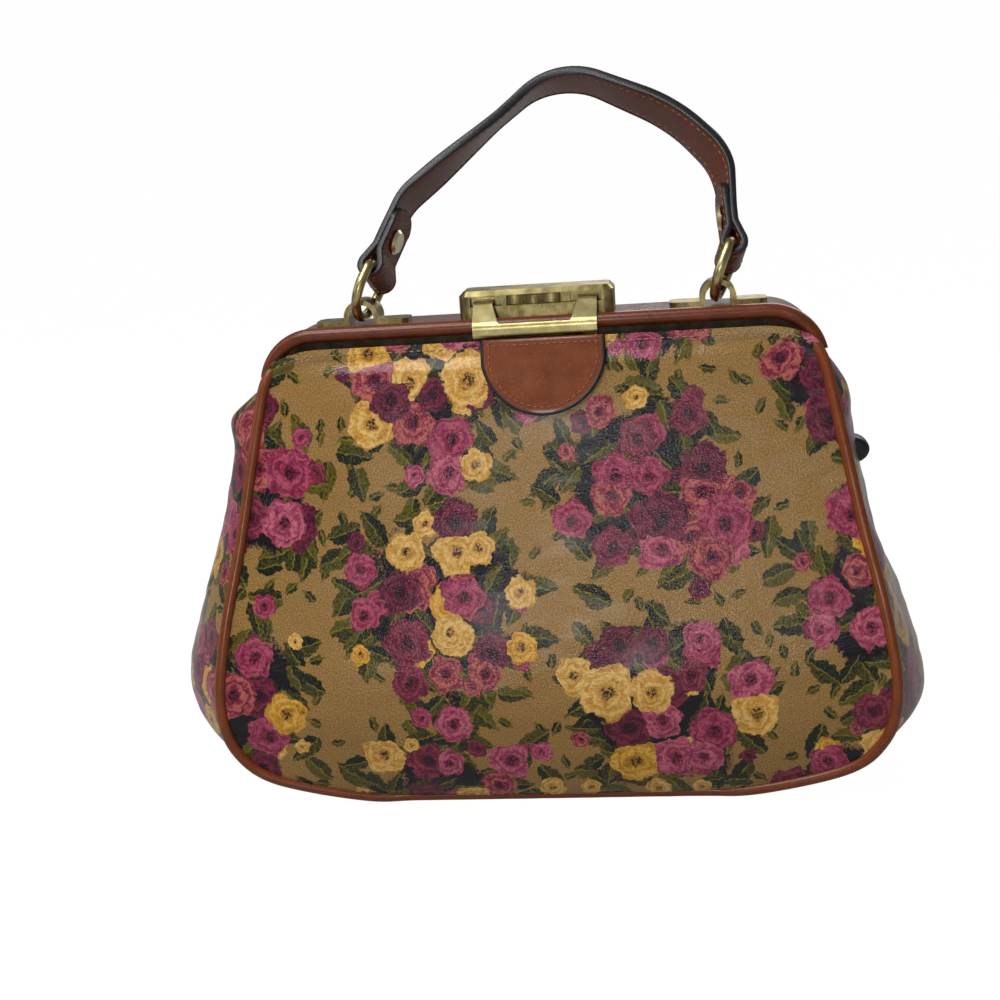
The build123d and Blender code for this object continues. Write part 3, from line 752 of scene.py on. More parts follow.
@dataclass(frozen=True)
class Finishes:
    """Finishes of the whole bag."""

    sizes: PrintSizes = PrintSizes()
    colours: PrintColours = PrintColours()
    chestnut: LeatherFinish = LeatherFinish("chestnut_leather", (126, 58, 14), (102, 44, 8), (148, 80, 28))
    roll: LeatherFinish = LeatherFinish("roll_leather", (114, 50, 16), (86, 34, 10), (140, 74, 36))
    strap: LeatherFinish = LeatherFinish("strap_leather", (98, 44, 20), (74, 30, 12), (122, 64, 34),
                                         depth=0.00005)
    lining: LeatherFinish = LeatherFinish("strap_lining_leather", (104, 46, 20), (58, 22, 10), (136, 72, 40),
                                          wrinkle=2.6, depth=0.0008)
    # Painted shade: the facings get chestnut leather darkened to near black, standing in for the deep shade
    # in the gap between the front roll and the panel.
    facing: LeatherFinish = LeatherFinish("facing_painted_shade", (26, 13, 8), (16, 8, 5), (40, 21, 13),
                                          roughness=0.6, coat=0.0)
    cover: LeatherFinish = LeatherFinish("cover_leather", (120, 60, 34), (92, 42, 22), (146, 90, 62),
                                         roughness=0.26, coat=0.7, depth=0.00005)
    brass: MetalFinish = MetalFinish("antique_brass", (184, 168, 114), (124, 110, 66), (230, 218, 168))
    hasp: MetalFinish = MetalFinish("hasp_brass", (202, 188, 134), (168, 154, 100), (236, 226, 180),
                                    brush=(1.0, 1.0, 0.05))
    rivet: MetalFinish = MetalFinish("rivet_brass", (228, 216, 184), (206, 192, 154), (246, 238, 214),
                                     roughness=0.34, brush=(1.0, 1.0, 1.0))
    ring: MetalFinish = MetalFinish("ring_brass", (206, 190, 138), (170, 152, 100), (238, 226, 180),
                                    roughness=0.26, brush=(1.0, 1.0, 1.0))
    steel: MetalFinish = MetalFinish("frame_steel", (58, 52, 42), (38, 34, 28), (92, 84, 70), roughness=0.45)
    cloth: ClothFinish = ClothFinish("lining_cloth", (140, 122, 96), (118, 100, 76))
    board: ClothFinish = ClothFinish("stiff_board", (150, 130, 104), (136, 116, 92), pitch=0.4)
    paint: PaintFinish = PaintFinish("edge_paint", (14, 13, 16), (26, 25, 30),
                                     roughness=0.42, size=6.0, coat=0.1)
    thread: PaintFinish = PaintFinish("stitch_thread", (150, 86, 46), (186, 120, 72),
                                      roughness=0.55, size=0.4, coat=0.0)
    pale_thread: PaintFinish = PaintFinish("pale_thread", (150, 126, 84), (186, 164, 120),
                                           roughness=0.55, size=0.4, coat=0.0)

    def build(self) -> dict[str, bpy.types.Material]:
        """Make every material.

        Returns:
            Materials by field name.
        """
        plain = ("chestnut", "roll", "strap", "lining", "facing", "cover", "brass", "hasp", "rivet", "ring",
                 "steel", "cloth", "board", "paint", "thread", "pale_thread")
        made = {name: getattr(self, name).build() for name in plain}
        made["print"] = printed_leather("printed_leather", self.sizes, self.colours)
        return made


# Mesh helpers


def new_object(name: str, verts: np.ndarray, faces: Sequence[Sequence[int]],
               material: bpy.types.Material, uvs: np.ndarray | None = None) -> bpy.types.Object:
    """Make a mesh object of one material.

    Args:
        name: Name of the object.
        verts: Points in metres.
        faces: Vertex numbers of each face.
        material: The material.
        uvs: UV place of each vertex, or None.

    Returns:
        The object.
    """
    mesh = bpy.data.meshes.new(name)
    mesh.from_pydata([tuple(v) for v in np.asarray(verts, float)], [], [tuple(f) for f in faces])
    mesh.validate()
    if uvs is not None:
        layer = mesh.uv_layers.new(name=UV_MAP)
        index = np.empty(len(mesh.loops), np.int32)
        mesh.loops.foreach_get("vertex_index", index)
        layer.data.foreach_set("uv", np.asarray(uvs, np.float32)[index].ravel())
    mesh.polygons.foreach_set("use_smooth", [True] * len(mesh.polygons))
    mesh.set_sharp_from_angle(angle=math.radians(SHARP_ANGLE))
    mesh.materials.append(material)
    made = bpy.data.objects.new(name, mesh)
    bpy.context.scene.collection.objects.link(made)
    return made


def grid_faces(rows: int, columns: int, wrap: bool = False, start: int = 0,
               flip: bool = False) -> list[tuple]:
    """Faces of a grid of points held row by row.

    Args:
        rows: Number of rows.
        columns: Number of columns.
        wrap: Whether the last column joins the first.
        start: Number of the first point.
        flip: Whether the faces point the other way.

    Returns:
        Faces as vertex numbers.
    """
    faces = []
    last = columns if wrap else columns - 1
    for row in range(rows - 1):
        for column in range(last):
            a = start + row * columns + column
            b = start + row * columns + (column + 1) % columns
            face = (a, b, b + columns, a + columns)
            faces.append(face[::-1] if flip else face)
    return faces


def grid_normals(points: np.ndarray) -> np.ndarray:
    """Unit normals of a grid of points.

    Args:
        points: Rows, columns and coordinates.

    Returns:
        Normals of the same shape.
    """
    down = np.gradient(points, axis=0)
    across = np.gradient(points, axis=1)
    normals = np.cross(across, down)
    return normals / np.maximum(np.linalg.norm(normals, axis=2, keepdims=True), 1e-12)


def slab(name: str, outer: np.ndarray, inner: np.ndarray, material: bpy.types.Material,
         uvs: np.ndarray | None = None) -> bpy.types.Object:
    """Closed sheet between an outer and an inner grid of points.

    Args:
        name: Name of the object.
        outer: Outer points, rows by columns.
        inner: Inner points of the same shape.
        material: The material.
        uvs: UV places of the grid.

    Returns:
        The object.
    """
    rows, columns = outer.shape[:2]
    count = rows * columns
    faces = grid_faces(rows, columns) + grid_faces(rows, columns, start=count, flip=True)
    top = list(range(columns))
    right = [row * columns + columns - 1 for row in range(rows)]
    bottom = [(rows - 1) * columns + column for column in reversed(range(columns))]
    left = [row * columns for row in reversed(range(rows))]
    rim = top[:-1] + right[:-1] + bottom[:-1] + left[:-1]
    for a, b in zip(rim, rim[1:] + rim[:1]):
        faces.append((b, a, a + count, b + count))
    verts = np.concatenate([outer.reshape(-1, 3), inner.reshape(-1, 3)])
    both = None if uvs is None else np.concatenate([uvs.reshape(-1, 2)] * 2)
    return new_object(name, verts, faces, material, both)


def frames_along(path: np.ndarray,
                 side: np.ndarray | None = None) -> tuple[np.ndarray, np.ndarray, np.ndarray]:
    """Tangent, side and up of a path.

    Args:
        path: Points of the path.
        side: Side direction at each point, or None for one that turns as little as it can.

    Returns:
        Tangents, sides and ups.
    """
    tangents = np.gradient(path, axis=0)
    tangents /= np.linalg.norm(tangents, axis=1, keepdims=True)
    if side is not None:
        ups = np.cross(tangents, side)
        return tangents, side, ups / np.linalg.norm(ups, axis=1, keepdims=True)
    sides = np.empty_like(tangents)
    current = np.array([0.0, 1.0, 0.0]) if abs(tangents[0][1]) < 0.9 else np.array([1.0, 0.0, 0.0])
    for index, tangent in enumerate(tangents):
        current = current - (current @ tangent) * tangent
        current /= np.linalg.norm(current)
        sides[index] = current
    return tangents, sides, np.cross(tangents, sides)


def sweep(name: str, path: np.ndarray, profile: Callable[[int, float], np.ndarray],
          material: bpy.types.Material, side: np.ndarray | None = None) -> bpy.types.Object:
    """Closed body swept along a path.

    Args:
        name: Name of the object.
        path: Points of the path in metres.
        profile: Gives the outline at a point of the path, as side and up offsets in metres.
        material: The material.
        side: Side direction at each point, or None.

    Returns:
        The object.
    """
    _, sides, ups = frames_along(path, side)
    steps = np.linalg.norm(np.diff(path, axis=0), axis=1)
    along = np.concatenate([[0.0], np.cumsum(steps)])
    rings = []
    for index, spot in enumerate(path):
        outline = np.asarray(profile(index, along[index]))
        rings.append(spot + outline[:, :1] * sides[index] + outline[:, 1:2] * ups[index])
    points = np.array(rings)
    rows, columns = points.shape[:2]
    faces = grid_faces(rows, columns, wrap=True, flip=True)
    faces.append(tuple(range(columns)))
    faces.append(tuple(reversed(range((rows - 1) * columns, rows * columns))))
    return new_object(name, points.reshape(-1, 3), faces, material)


def circle(radius: float, sides: int) -> np.ndarray:
    """Outline of a circle.

    Args:
        radius: Radius in metres.
        sides: Number of points.

    Returns:
        Points.
    """
    turn = np.linspace(0, 2 * math.pi, sides, endpoint=False)
    return radius * np.stack([np.cos(turn), np.sin(turn)], axis=1)


def rounded(corners: Sequence[Sequence[float]], radii: Sequence[float], step: float) -> np.ndarray:
    """Route with rounded corners, as even points.

    Args:
        corners: Corner points, ends included.
        radii: Radius of each inner corner.
        step: Spacing of the points.

    Returns:
        Points along the route.
    """
    spots = [np.asarray(corner, float) for corner in corners]
    line = [spots[0]]
    for before, here, after, radius in zip(spots, spots[1:], spots[2:], radii):
        into = (here - before) / np.linalg.norm(here - before)
        out = (after - here) / np.linalg.norm(after - here)
        turn = math.acos(max(-1.0, min(1.0, float(into @ out))))
        if turn < 1e-4:
            continue
        cut = radius * math.tan(turn / 2)
        start, finish = here - into * cut, here + out * cut
        centre = start + (out - into * float(into @ out)) / math.sin(turn) * radius
        count = max(2, int(radius * turn / step) + 1)
        for share in np.linspace(0, 1, count + 1):
            a, b = start - centre, finish - centre
            spin = (math.sin((1 - share) * turn) * a + math.sin(share * turn) * b) / math.sin(turn)
            line.append(centre + spin)
    line.append(spots[-1])
    points = np.array(line)
    lengths = np.concatenate([[0.0], np.cumsum(np.linalg.norm(np.diff(points, axis=0), axis=1))])
    even = np.linspace(0, lengths[-1], max(2, int(lengths[-1] / step) + 1))
    return np.stack([np.interp(even, lengths, points[:, axis]) for axis in range(points.shape[1])], axis=1)


def attach(piece: bpy.types.Object, slot: Slot, body: Body | None, *nodes: str) -> bpy.types.Object:
    """Parent a piece to its body and hide the CAD nodes that it replaces.

    Args:
        piece: The piece.
        slot: Material slot of the piece; not used.
        body: Body that it rides on, or None to leave it unparented.
        nodes: CAD nodes that it stands for.

    Returns:
        The piece.
    """
    if nodes:
        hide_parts(*nodes)
    if body is not None:
        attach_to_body(piece, body.value)
    return piece


# Stitches by Geometry Nodes


@dataclass(frozen=True)
class StitchSize:
    """Sizes of a row of stitches, in millimetres."""

    pitch: float
    length: float
    radius: float


class StitchTree:
    """Node group that lays stitches along a curve."""

    SLANT = 0.12
    FIELDS = (("Pitch", "NodeSocketFloat"), ("Length", "NodeSocketFloat"), ("Radius", "NodeSocketFloat"),
              ("Slant", "NodeSocketFloat"), ("Seed", "NodeSocketInt"), ("Thread", "NodeSocketMaterial"))

    def __init__(self) -> None:
        """Make the node group and its inputs."""
        self.tree = bpy.data.node_groups.new("stitches", "GeometryNodeTree")
        face = self.tree.interface
        face.new_socket("Geometry", in_out="INPUT", socket_type="NodeSocketGeometry")
        face.new_socket("Geometry", in_out="OUTPUT", socket_type="NodeSocketGeometry")
        self.identifiers = {}
        for name, kind in self.FIELDS:
            self.identifiers[name] = face.new_socket(name, in_out="INPUT", socket_type=kind).identifier
        self.lay_out()

    def node(self, kind: str, settings: dict[str, Any] | None = None) -> bpy.types.Node:
        """Add a node.

        Args:
            kind: Node type.
            settings: Its properties.

        Returns:
            The node.
        """
        made = self.tree.nodes.new(kind)
        for key, value in (settings or {}).items():
            setattr(made, key, value)
        return made

    def lay_out(self) -> None:
        """Build the group."""
        link = self.tree.links.new
        source, result = self.node("NodeGroupInput"), self.node("NodeGroupOutput")
        spread = self.node("GeometryNodeResampleCurve", {"mode": "LENGTH"})
        link(source.outputs["Geometry"], spread.inputs["Curve"])
        link(source.outputs["Pitch"], spread.inputs["Length"])
        ball = self.node("GeometryNodeMeshIcoSphere")
        ball.inputs["Radius"].default_value = 1.0
        ball.inputs["Subdivisions"].default_value = 2
        size = self.node("ShaderNodeCombineXYZ")
        half = self.node("ShaderNodeMath", {"operation": "MULTIPLY"})
        half.inputs[1].default_value = 0.5
        link(source.outputs["Length"], half.inputs[0])
        link(half.outputs[0], size.inputs["X"])
        link(source.outputs["Radius"], size.inputs["Y"])
        link(source.outputs["Radius"], size.inputs["Z"])
        tangent = self.node("GeometryNodeInputTangent")
        aim = self.node("FunctionNodeAlignEulerToVector", {"axis": "X"})
        link(tangent.outputs[0], aim.inputs["Vector"])
        random = self.node("FunctionNodeRandomValue", {"data_type": "FLOAT"})
        low = self.node("ShaderNodeMath", {"operation": "MULTIPLY"})
        low.inputs[1].default_value = -1.0
        link(source.outputs["Slant"], low.inputs[0])
        numbers = [s for s in random.inputs if s.type == "VALUE"]
        link(low.outputs[0], numbers[0])
        link(source.outputs["Slant"], numbers[1])
        link(source.outputs["Seed"], random.inputs["Seed"])
        turn = self.node("ShaderNodeCombineXYZ")
        value = [s for s in random.outputs if s.type == "VALUE"][0]
        link(value, turn.inputs["Z"])
        spin = self.node("FunctionNodeRotateEuler", {"space": "LOCAL"})
        link(aim.outputs[0], spin.inputs["Rotation"])
        link(turn.outputs[0], spin.inputs["Rotate By"])
        place = self.node("GeometryNodeInstanceOnPoints")
        link(spread.outputs["Curve"], place.inputs["Points"])
        link(ball.outputs["Mesh"], place.inputs["Instance"])
        link(spin.outputs[0], place.inputs["Rotation"])
        link(size.outputs[0], place.inputs["Scale"])
        real = self.node("GeometryNodeRealizeInstances")
        link(place.outputs["Instances"], real.inputs["Geometry"])
        smooth = self.node("GeometryNodeSetShadeSmooth")
        link(real.outputs["Geometry"], smooth.inputs["Geometry"])
        coat = self.node("GeometryNodeSetMaterial")
        link(smooth.outputs["Geometry"], coat.inputs["Geometry"])
        link(source.outputs["Thread"], coat.inputs["Material"])
        link(coat.outputs["Geometry"], result.inputs["Geometry"])

    def sew(self, name: str, points: np.ndarray, size: StitchSize, thread: bpy.types.Material,
            seed: int) -> bpy.types.Object:
        """Lay one row of stitches.

        Args:
            name: Name of the piece.
            points: Points of the row in metres.
            size: Sizes of the stitches.
            thread: Material of the thread.
            seed: Seed of the slants.

        Returns:
            The piece.
        """
        curve = bpy.data.curves.new(name + "_line", "CURVE")
        curve.dimensions = "3D"
        spline = curve.splines.new("POLY")
        spline.points.add(len(points) - 1)
        spline.points.foreach_set("co", np.concatenate([points, np.ones((len(points), 1))], axis=1).ravel())
        line = bpy.data.objects.new(name + "_line", curve)
        bpy.context.scene.collection.objects.link(line)
        modifier = line.modifiers.new("stitches", "NODES")
        modifier.node_group = self.tree
        values = {"Pitch": size.pitch * MM, "Length": size.length * MM, "Radius": size.radius * MM,
                  "Slant": self.SLANT, "Seed": seed, "Thread": thread}
        for key, value in values.items():
            modifier[self.identifiers[key]] = value
        graph = bpy.context.evaluated_depsgraph_get()
        mesh = bpy.data.meshes.new_from_object(line.evaluated_get(graph), depsgraph=graph)
        mesh.name = name
        bpy.data.objects.remove(line)
        bpy.data.curves.remove(curve)
        made = bpy.data.objects.new(name, mesh)
        bpy.context.scene.collection.objects.link(made)
        return made


# Form of the body


@dataclass(frozen=True)
class Level:
    """Plan of the body at one height, in millimetres."""

    z: float
    half: float
    depth: float
    crown: float
    left: float
    right: float


LEVELS = (
    Level(0.0, 72.0, 56.0, 0.0, 4.0, 4.0),
    Level(7.0, 103.0, 60.5, 1.0, 15.0, 13.0),
    Level(15.0, 130.0, 63.5, 1.5, 22.0, 20.0),
    Level(28.0, 145.5, 65.5, 2.5, 29.0, 24.0),
    Level(48.0, 152.0, 66.0, 4.0, 32.0, 20.0),
    Level(80.0, 149.5, 59.5, 5.0, 28.0, 13.0),
    Level(125.0, 140.0, 46.0, 5.0, 21.0, 8.0),
    Level(165.0, 132.5, 35.0, 4.5, 16.0, 8.0),
    Level(186.0, 128.5, 29.0, 4.0, 9.0, 6.0),
    Level(197.0, 126.5, 26.0, 3.0, 1.5, 1.5),
    Level(209.8, 125.5, 24.5, 0.5, 1.0, 1.0),
)


class BodyForm:
    """Smooth form of the body through its levels."""

    def __init__(self, levels: Sequence[Level]) -> None:
        """Hold each size of the plan with its slopes."""
        self.heights = np.array([level.z for level in levels])
        self.columns = {}
        for field in ("half", "depth", "crown", "left", "right"):
            values = np.array([getattr(level, field) for level in levels])
            self.columns[field] = (values, self.slopes(values))

    def slopes(self, values: np.ndarray) -> np.ndarray:
        """Slopes that keep a curve through values from overshooting.

        Args:
            values: Values at the heights.

        Returns:
            Slope at each height.
        """
        rise = np.diff(values) / np.diff(self.heights)
        slopes = np.concatenate([rise[:1], (rise[:-1] + rise[1:]) / 2, rise[-1:]])
        before = np.abs(np.concatenate([rise[:1], rise]))
        after = np.abs(np.concatenate([rise, rise[-1:]]))
        limit = 3 * np.minimum(before, after)
        return np.clip(slopes, -limit, limit)

    def value(self, field: str, z: np.ndarray) -> np.ndarray:
        """One size of the plan at given heights.

        Args:
            field: Name of the size.
            z: Heights in millimetres.

        Returns:
            The size in millimetres.
        """
        values, slopes = self.columns[field]
        z = np.clip(z, self.heights[0], self.heights[-1])
        index = np.clip(np.searchsorted(self.heights, z, side="right") - 1, 0, len(self.heights) - 2)
        gap = self.heights[index + 1] - self.heights[index]
        t = (z - self.heights[index]) / gap
        square, cube = t * t, t * t * t
        return ((2 * cube - 3 * square + 1) * values[index] + (cube - 2 * square + t) * gap * slopes[index]
                + (3 * square - 2 * cube) * values[index + 1] + (cube - square) * gap * slopes[index + 1])


def soft_noise(points: np.ndarray, size: float, seed: float) -> np.ndarray:
    """Smooth noise at points in millimetres.

    Args:
        points: Points of any shape, with three coordinates last.
        size: Feature size in millimetres.
        seed: Shift that sets one noise apart from another.

    Returns:
        Noise from about -1 to 1.
    """
    flat = points.reshape(-1, 3) / size + seed
    values = [noise.noise(Vector(spot)) for spot in flat]
    return np.array(values).reshape(points.shape[:-1])


def ease(value: np.ndarray, low: float, high: float) -> np.ndarray:
    """Rise smoothly from 0 at low to 1 at high.

    Args:
        value: Values.
        low: Where the rise starts.
        high: Where it ends.

    Returns:
        Shares from 0 to 1.
    """
    share = np.clip((value - low) / (high - low), 0, 1)
    return share * share * (3 - 2 * share)


@dataclass(frozen=True)
class PanelSize:
    """Sizes of the front and rear panels, in millimetres."""

    leather: float = 1.9
    low_z: float = 0.9
    turn_z: float = 186.0
    top_z: float = 209.6
    edge_z: float = 197.6
    shoulder: float = 99.0
    corner: float = 126.5
    body_rows: float = 0.82
    hem: float = 5.2
    hem_lift: float = 0.45
    shelf: float = 2.2
    seam_in: float = 1.6
    columns: int = 190
    rows: int = 150


@dataclass
class BodySkin:
    """Panels, gussets and base of printed leather. The blend points, which nothing uses, and the rear
    print's shift are in metres.
    """

    BLEND = ((0, -0.0775, 0.0558), (0, -0.1120, 0.0805))

    form: BodyForm
    size: PanelSize
    finishes: dict[str, bpy.types.Material]
    stitches: StitchTree
    rear_print: float = 0.41
    gusset_top: float = 196.8
    gusset_print: float = 140.0
    floor_clear: float = 1.2
    hem_half: float = 119.0

    def panel_top(self, x: np.ndarray) -> np.ndarray:
        """Height of the panel's top edge.

        Args:
            x: Places across in millimetres.

        Returns:
            Heights in millimetres.
        """
        share = np.clip((np.abs(x) - self.size.shoulder) / (self.size.corner - self.size.shoulder), 0, 1)
        drop = 1 - np.sqrt(np.maximum(1 - share ** 2, 0.0))
        return self.size.top_z - (self.size.top_z - self.size.edge_z) * drop

    def panel_grid(self) -> tuple[np.ndarray, np.ndarray]:
        """Places across and up the front panel.

        Returns:
            x and z of each grid point in millimetres.
        """
        size = self.size
        s = np.sin(np.linspace(-1, 1, size.columns) * math.pi / 2 * 0.985)
        s = (0.55 * np.linspace(-1, 1, size.columns) + 0.45 * s / abs(s[0]))
        rows = np.linspace(0, 1, size.rows)
        low = rows[rows <= size.body_rows] / size.body_rows
        z_low = size.low_z + (size.turn_z - size.low_z) * low
        high = (rows[rows > size.body_rows] - size.body_rows) / (1 - size.body_rows)
        x = np.empty((size.rows, size.columns))
        z = np.empty_like(x)
        count = len(z_low)
        x[:count] = s[None] * (self.form.value("half", z_low)[:, None] - size.seam_in)
        z[:count] = z_low[:, None]
        edge = self.form.value("half", np.array([size.edge_z]))[0] - size.seam_in
        start = self.form.value("half", np.array([size.turn_z]))[0] - size.seam_in
        wide = s[None] * (start + (edge - start) * high[:, None])
        x[count:] = wide
        z[count:] = size.turn_z + (self.panel_top(wide) - size.turn_z) * high[:, None]
        return x, z

    def panel_y(self, x: np.ndarray, z: np.ndarray) -> np.ndarray:
        """Depth of the front panel's outer face.

        Args:
            x: Places across in millimetres.
            z: Heights in millimetres.

        Returns:
            y in millimetres.
        """
        half = self.form.value("half", z)
        share = np.clip(x / half, -1, 1)
        return -(self.form.value("depth", z) + self.form.value("crown", z) * (1 - share ** 2))

    def panel(self, name: str, node: str, rear: bool) -> bpy.types.Object:
        """One panel.

        Args:
            name: Name of the piece.
            node: CAD node that it replaces.
            rear: Whether it is the rear panel.

        Returns:
            The piece.
        """
        size = self.size
        x, z = self.panel_grid()
        y = self.panel_y(x, z)
        flat = np.stack([x, y, z], axis=2)
        below = self.panel_top(x) - z
        hem = ease(below, size.hem + 0.5, size.hem - 0.5) * size.hem_lift
        shelf = ease(below, size.hem, size.hem + 7) * ease(below, 60, 14) * size.shelf
        middle = 1 - np.clip(np.abs(x) / 118, 0, 1) ** 4
        half = self.form.value("half", z)
        edge = ease(half - np.abs(x), 0, 16)
        ripple = soft_noise(flat * np.array([1, 1, 1.6]), 34, 4.0 + rear * 9) * 0.9 * edge
        fine = soft_noise(flat * np.array([0.6, 1, 1.8]), 11, 7.5 + rear * 9) * 0.22 * edge
        pucker = np.sin(z * 0.9 + soft_noise(flat, 20, 2.0) * 4) * 0.18 * (1 - edge) * ease(below, 6, 24)
        flat[..., 1] -= hem + shelf * middle + ripple * ease(below, 4, 30) + fine + pucker
        normals = grid_normals(flat)
        inner = flat - normals * size.leather * np.where(normals[..., 1:2] < 0, 1, -1)
        uvs = np.stack([x, z], axis=2) * MM
        if rear:
            flat[..., 1] *= -1
            inner[..., 1] *= -1
            flat, inner = flat[:, ::-1], inner[:, ::-1]
            uvs = uvs[:, ::-1].copy()
            uvs[..., 0] = self.rear_print - uvs[..., 0]
        piece = slab(name, flat * MM, inner * MM, self.finishes["print"], uvs)
        self.hem(name, rear)
        if rear:
            return attach(piece, Slot.PRINT, Body.BAG, node)
        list(self.BLEND)
        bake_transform(piece)
        return attach(piece, Slot.PRINT, None, node)

    def hem(self, name: str, rear: bool) -> None:
        """Sew the hem along the top edge of a panel.

        Args:
            name: Name of the panel.
            rear: Whether it is the rear panel.
        """
        size = self.size
        x = np.linspace(-self.hem_half, self.hem_half, 160)
        z = self.panel_top(x) - size.hem * 0.55
        y = self.panel_y(x, z) - size.hem_lift - 0.12
        row = np.stack([x, -y if rear else y, z], axis=1) * MM
        sewn = self.stitches.sew(name + "_hem", row, StitchSize(3.3, 2.3, 0.30),
                                 self.finishes["pale_thread"], 3)
        if not rear:
            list(self.BLEND)
            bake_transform(sewn)
        attach(sewn, Slot.THREAD, Body.BAG if rear else None)

    def gusset(self, name: str, node: str, side: int) -> bpy.types.Object:
        """One gusset, from the floor to the frame.

        Args:
            name: Name of the piece.
            node: CAD node that it replaces.
            side: 1 for the right one and -1 for the left one.

        Returns:
            The piece.
        """
        rows, columns = 150, 90
        z = np.linspace(0.0, 1.0, rows)
        z = (0.25 * z ** 2 + 0.75 * z) * self.gusset_top
        t = np.linspace(-1, 1, columns)
        half = self.form.value("half", z)[:, None]
        depth = self.form.value("depth", z)[:, None]
        bulge = self.form.value("right" if side > 0 else "left", z)[:, None]
        tt = np.broadcast_to(t[None], (rows, columns))
        zz = np.broadcast_to(z[:, None], (rows, columns))
        x = half + bulge * (1 - tt ** 2) - 0.4
        y = depth * tt
        points = np.stack([x * side, y, zz], axis=2)
        edge = ease(1 - np.abs(tt), 0, 0.35)
        corner = np.exp(-((zz - 176) / 9) ** 2) * (1 - tt ** 2)
        reach = 7.5 if side < 0 else 2.5
        crease = np.exp(-(tt / 0.22) ** 2) * ease(zz, 120, 172) * ease(zz, 196, 180) * 0.3 + corner * reach
        ripple = soft_noise(points, 30, 3.0 + side) * 1.6 * edge * ease(zz, 4, 30) * ease(zz, 196, 170)
        fine = soft_noise(points * np.array([1, 0.7, 1.4]), 10, 6.0 + side) * 0.4 * edge * ease(zz, 4, 20)
        points[..., 0] += side * (ripple + fine + crease)
        normals = grid_normals(points)
        facing = np.where((normals[..., 0:1] * side + (zz[..., None] < 12) * -normals[..., 2:3]) > 0, 1, -1)
        inner = points - normals * self.size.leather * facing
        inner[..., 2] = np.maximum(inner[..., 2], self.floor_clear)
        steps = np.linalg.norm(np.diff(points, axis=1), axis=2)
        run = np.concatenate([np.zeros((rows, 1)), np.cumsum(steps, axis=1)], axis=1)
        u = side * (self.gusset_print + run)
        uvs = np.stack([u, zz], axis=2) * MM
        if side > 0:
            piece = slab(name, points * MM, inner * MM, self.finishes["print"], uvs)
        else:
            piece = slab(name, points[:, ::-1] * MM, inner[:, ::-1] * MM, self.finishes["print"],
                         uvs[:, ::-1])
        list(self.BLEND)
        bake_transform(piece)
        return attach(piece, Slot.PRINT, None, node)

    def base(self) -> bpy.types.Object:
        """Base of the bag.

        Returns:
            The piece.
        """
        rows, columns = 60, 70
        s = np.linspace(-1, 1, columns)[None] * np.ones((rows, 1))
        t = np.linspace(-1, 1, rows)[:, None] * np.ones((1, columns))
        x = s * (72.0 + 4.0 * (1 - t ** 2) - 0.4)
        y = t * 57.5
        lift = ease(np.abs(t), 0.9, 1.0) * 0.9
        points = np.stack([x, y, lift], axis=2)
        inner = points + np.array([0, 0, self.size.leather])
        uvs = np.stack([x, y - self.gusset_print], axis=2) * MM
        piece = slab("base_skin", points[::-1] * MM, inner[::-1] * MM, self.finishes["print"], uvs[::-1])
        return attach(piece, Slot.PRINT, Body.BAG, "base_panel")

    def build(self) -> None:
        """Make the whole skin."""
        self.panel("front_panel_skin", "front_panel", False)
        self.panel("rear_panel_skin", "rear_panel", True)
        self.gusset("right_gusset_skin", "right_gusset", 1)
        self.gusset("left_gusset_skin", "left_gusset", -1)
        self.base()


@dataclass
class Piping:
    """Covered cord along the seam of a panel, in millimetres."""

    form: BodyForm
    finishes: dict[str, bpy.types.Material]
    radius: float = 2.6
    top: float = 197.0
    foot_half: float = 72.0
    foot_y: float = -56.0

    def seam(self) -> np.ndarray:
        """Line of the front seam from the left top round the foot to the right top.

        Returns:
            Points in millimetres.
        """
        z = np.linspace(0, 1, 140) ** 1.5 * self.top
        half = self.form.value("half", z)
        depth = self.form.value("depth", z)
        right = np.stack([half, -depth, np.maximum(z, self.radius)], axis=1)
        flat = np.linspace(-1, 1, 60)[1:-1]
        foot = np.stack([self.foot_half * flat, np.full_like(flat, self.foot_y),
                         np.full_like(flat, self.radius)], axis=1)
        left = right[::-1] * np.array([-1, 1, 1])
        tuck = np.array([[125.6, -25.2, 199.5], [123.5, -23.4, 202.0], [120.5, -21.5, 203.6]])
        line = np.concatenate([tuck[::-1] * np.array([-1, 1, 1]), left, foot, right, tuck])
        for _ in range(12):
            line[1:-1] = (line[:-2] + 2 * line[1:-1] + line[2:]) / 4
        line[:, 2] = np.maximum(line[:, 2], self.radius)
        steps = np.concatenate([[0.0], np.cumsum(np.linalg.norm(np.diff(line, axis=0), axis=1))])
        even = np.linspace(0, steps[-1], 420)
        return np.stack([np.interp(even, steps, line[:, axis]) for axis in range(3)], axis=1)

    def build(self) -> None:
        """Make both pipings."""
        line = self.seam()

        def outline(index: int, along: float) -> np.ndarray:
            """Round outline that swells a little along the cord."""
            swell = 1 + 0.03 * noise.noise(Vector((along * 90, 1.3, 0.0)))
            return circle(self.radius * MM * swell, 18)

        front = sweep("front_piping_tube", line * MM, outline, self.finishes["chestnut"])
        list(BodySkin.BLEND)
        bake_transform(front)
        attach(front, Slot.CHESTNUT, None, "front_piping")
        mirrored = line[::-1] * np.array([1, -1, 1])
        rear = sweep("rear_piping_tube", mirrored * MM, outline, self.finishes["chestnut"])
        attach(rear, Slot.CHESTNUT, Body.BAG, "rear_piping")


# Handle


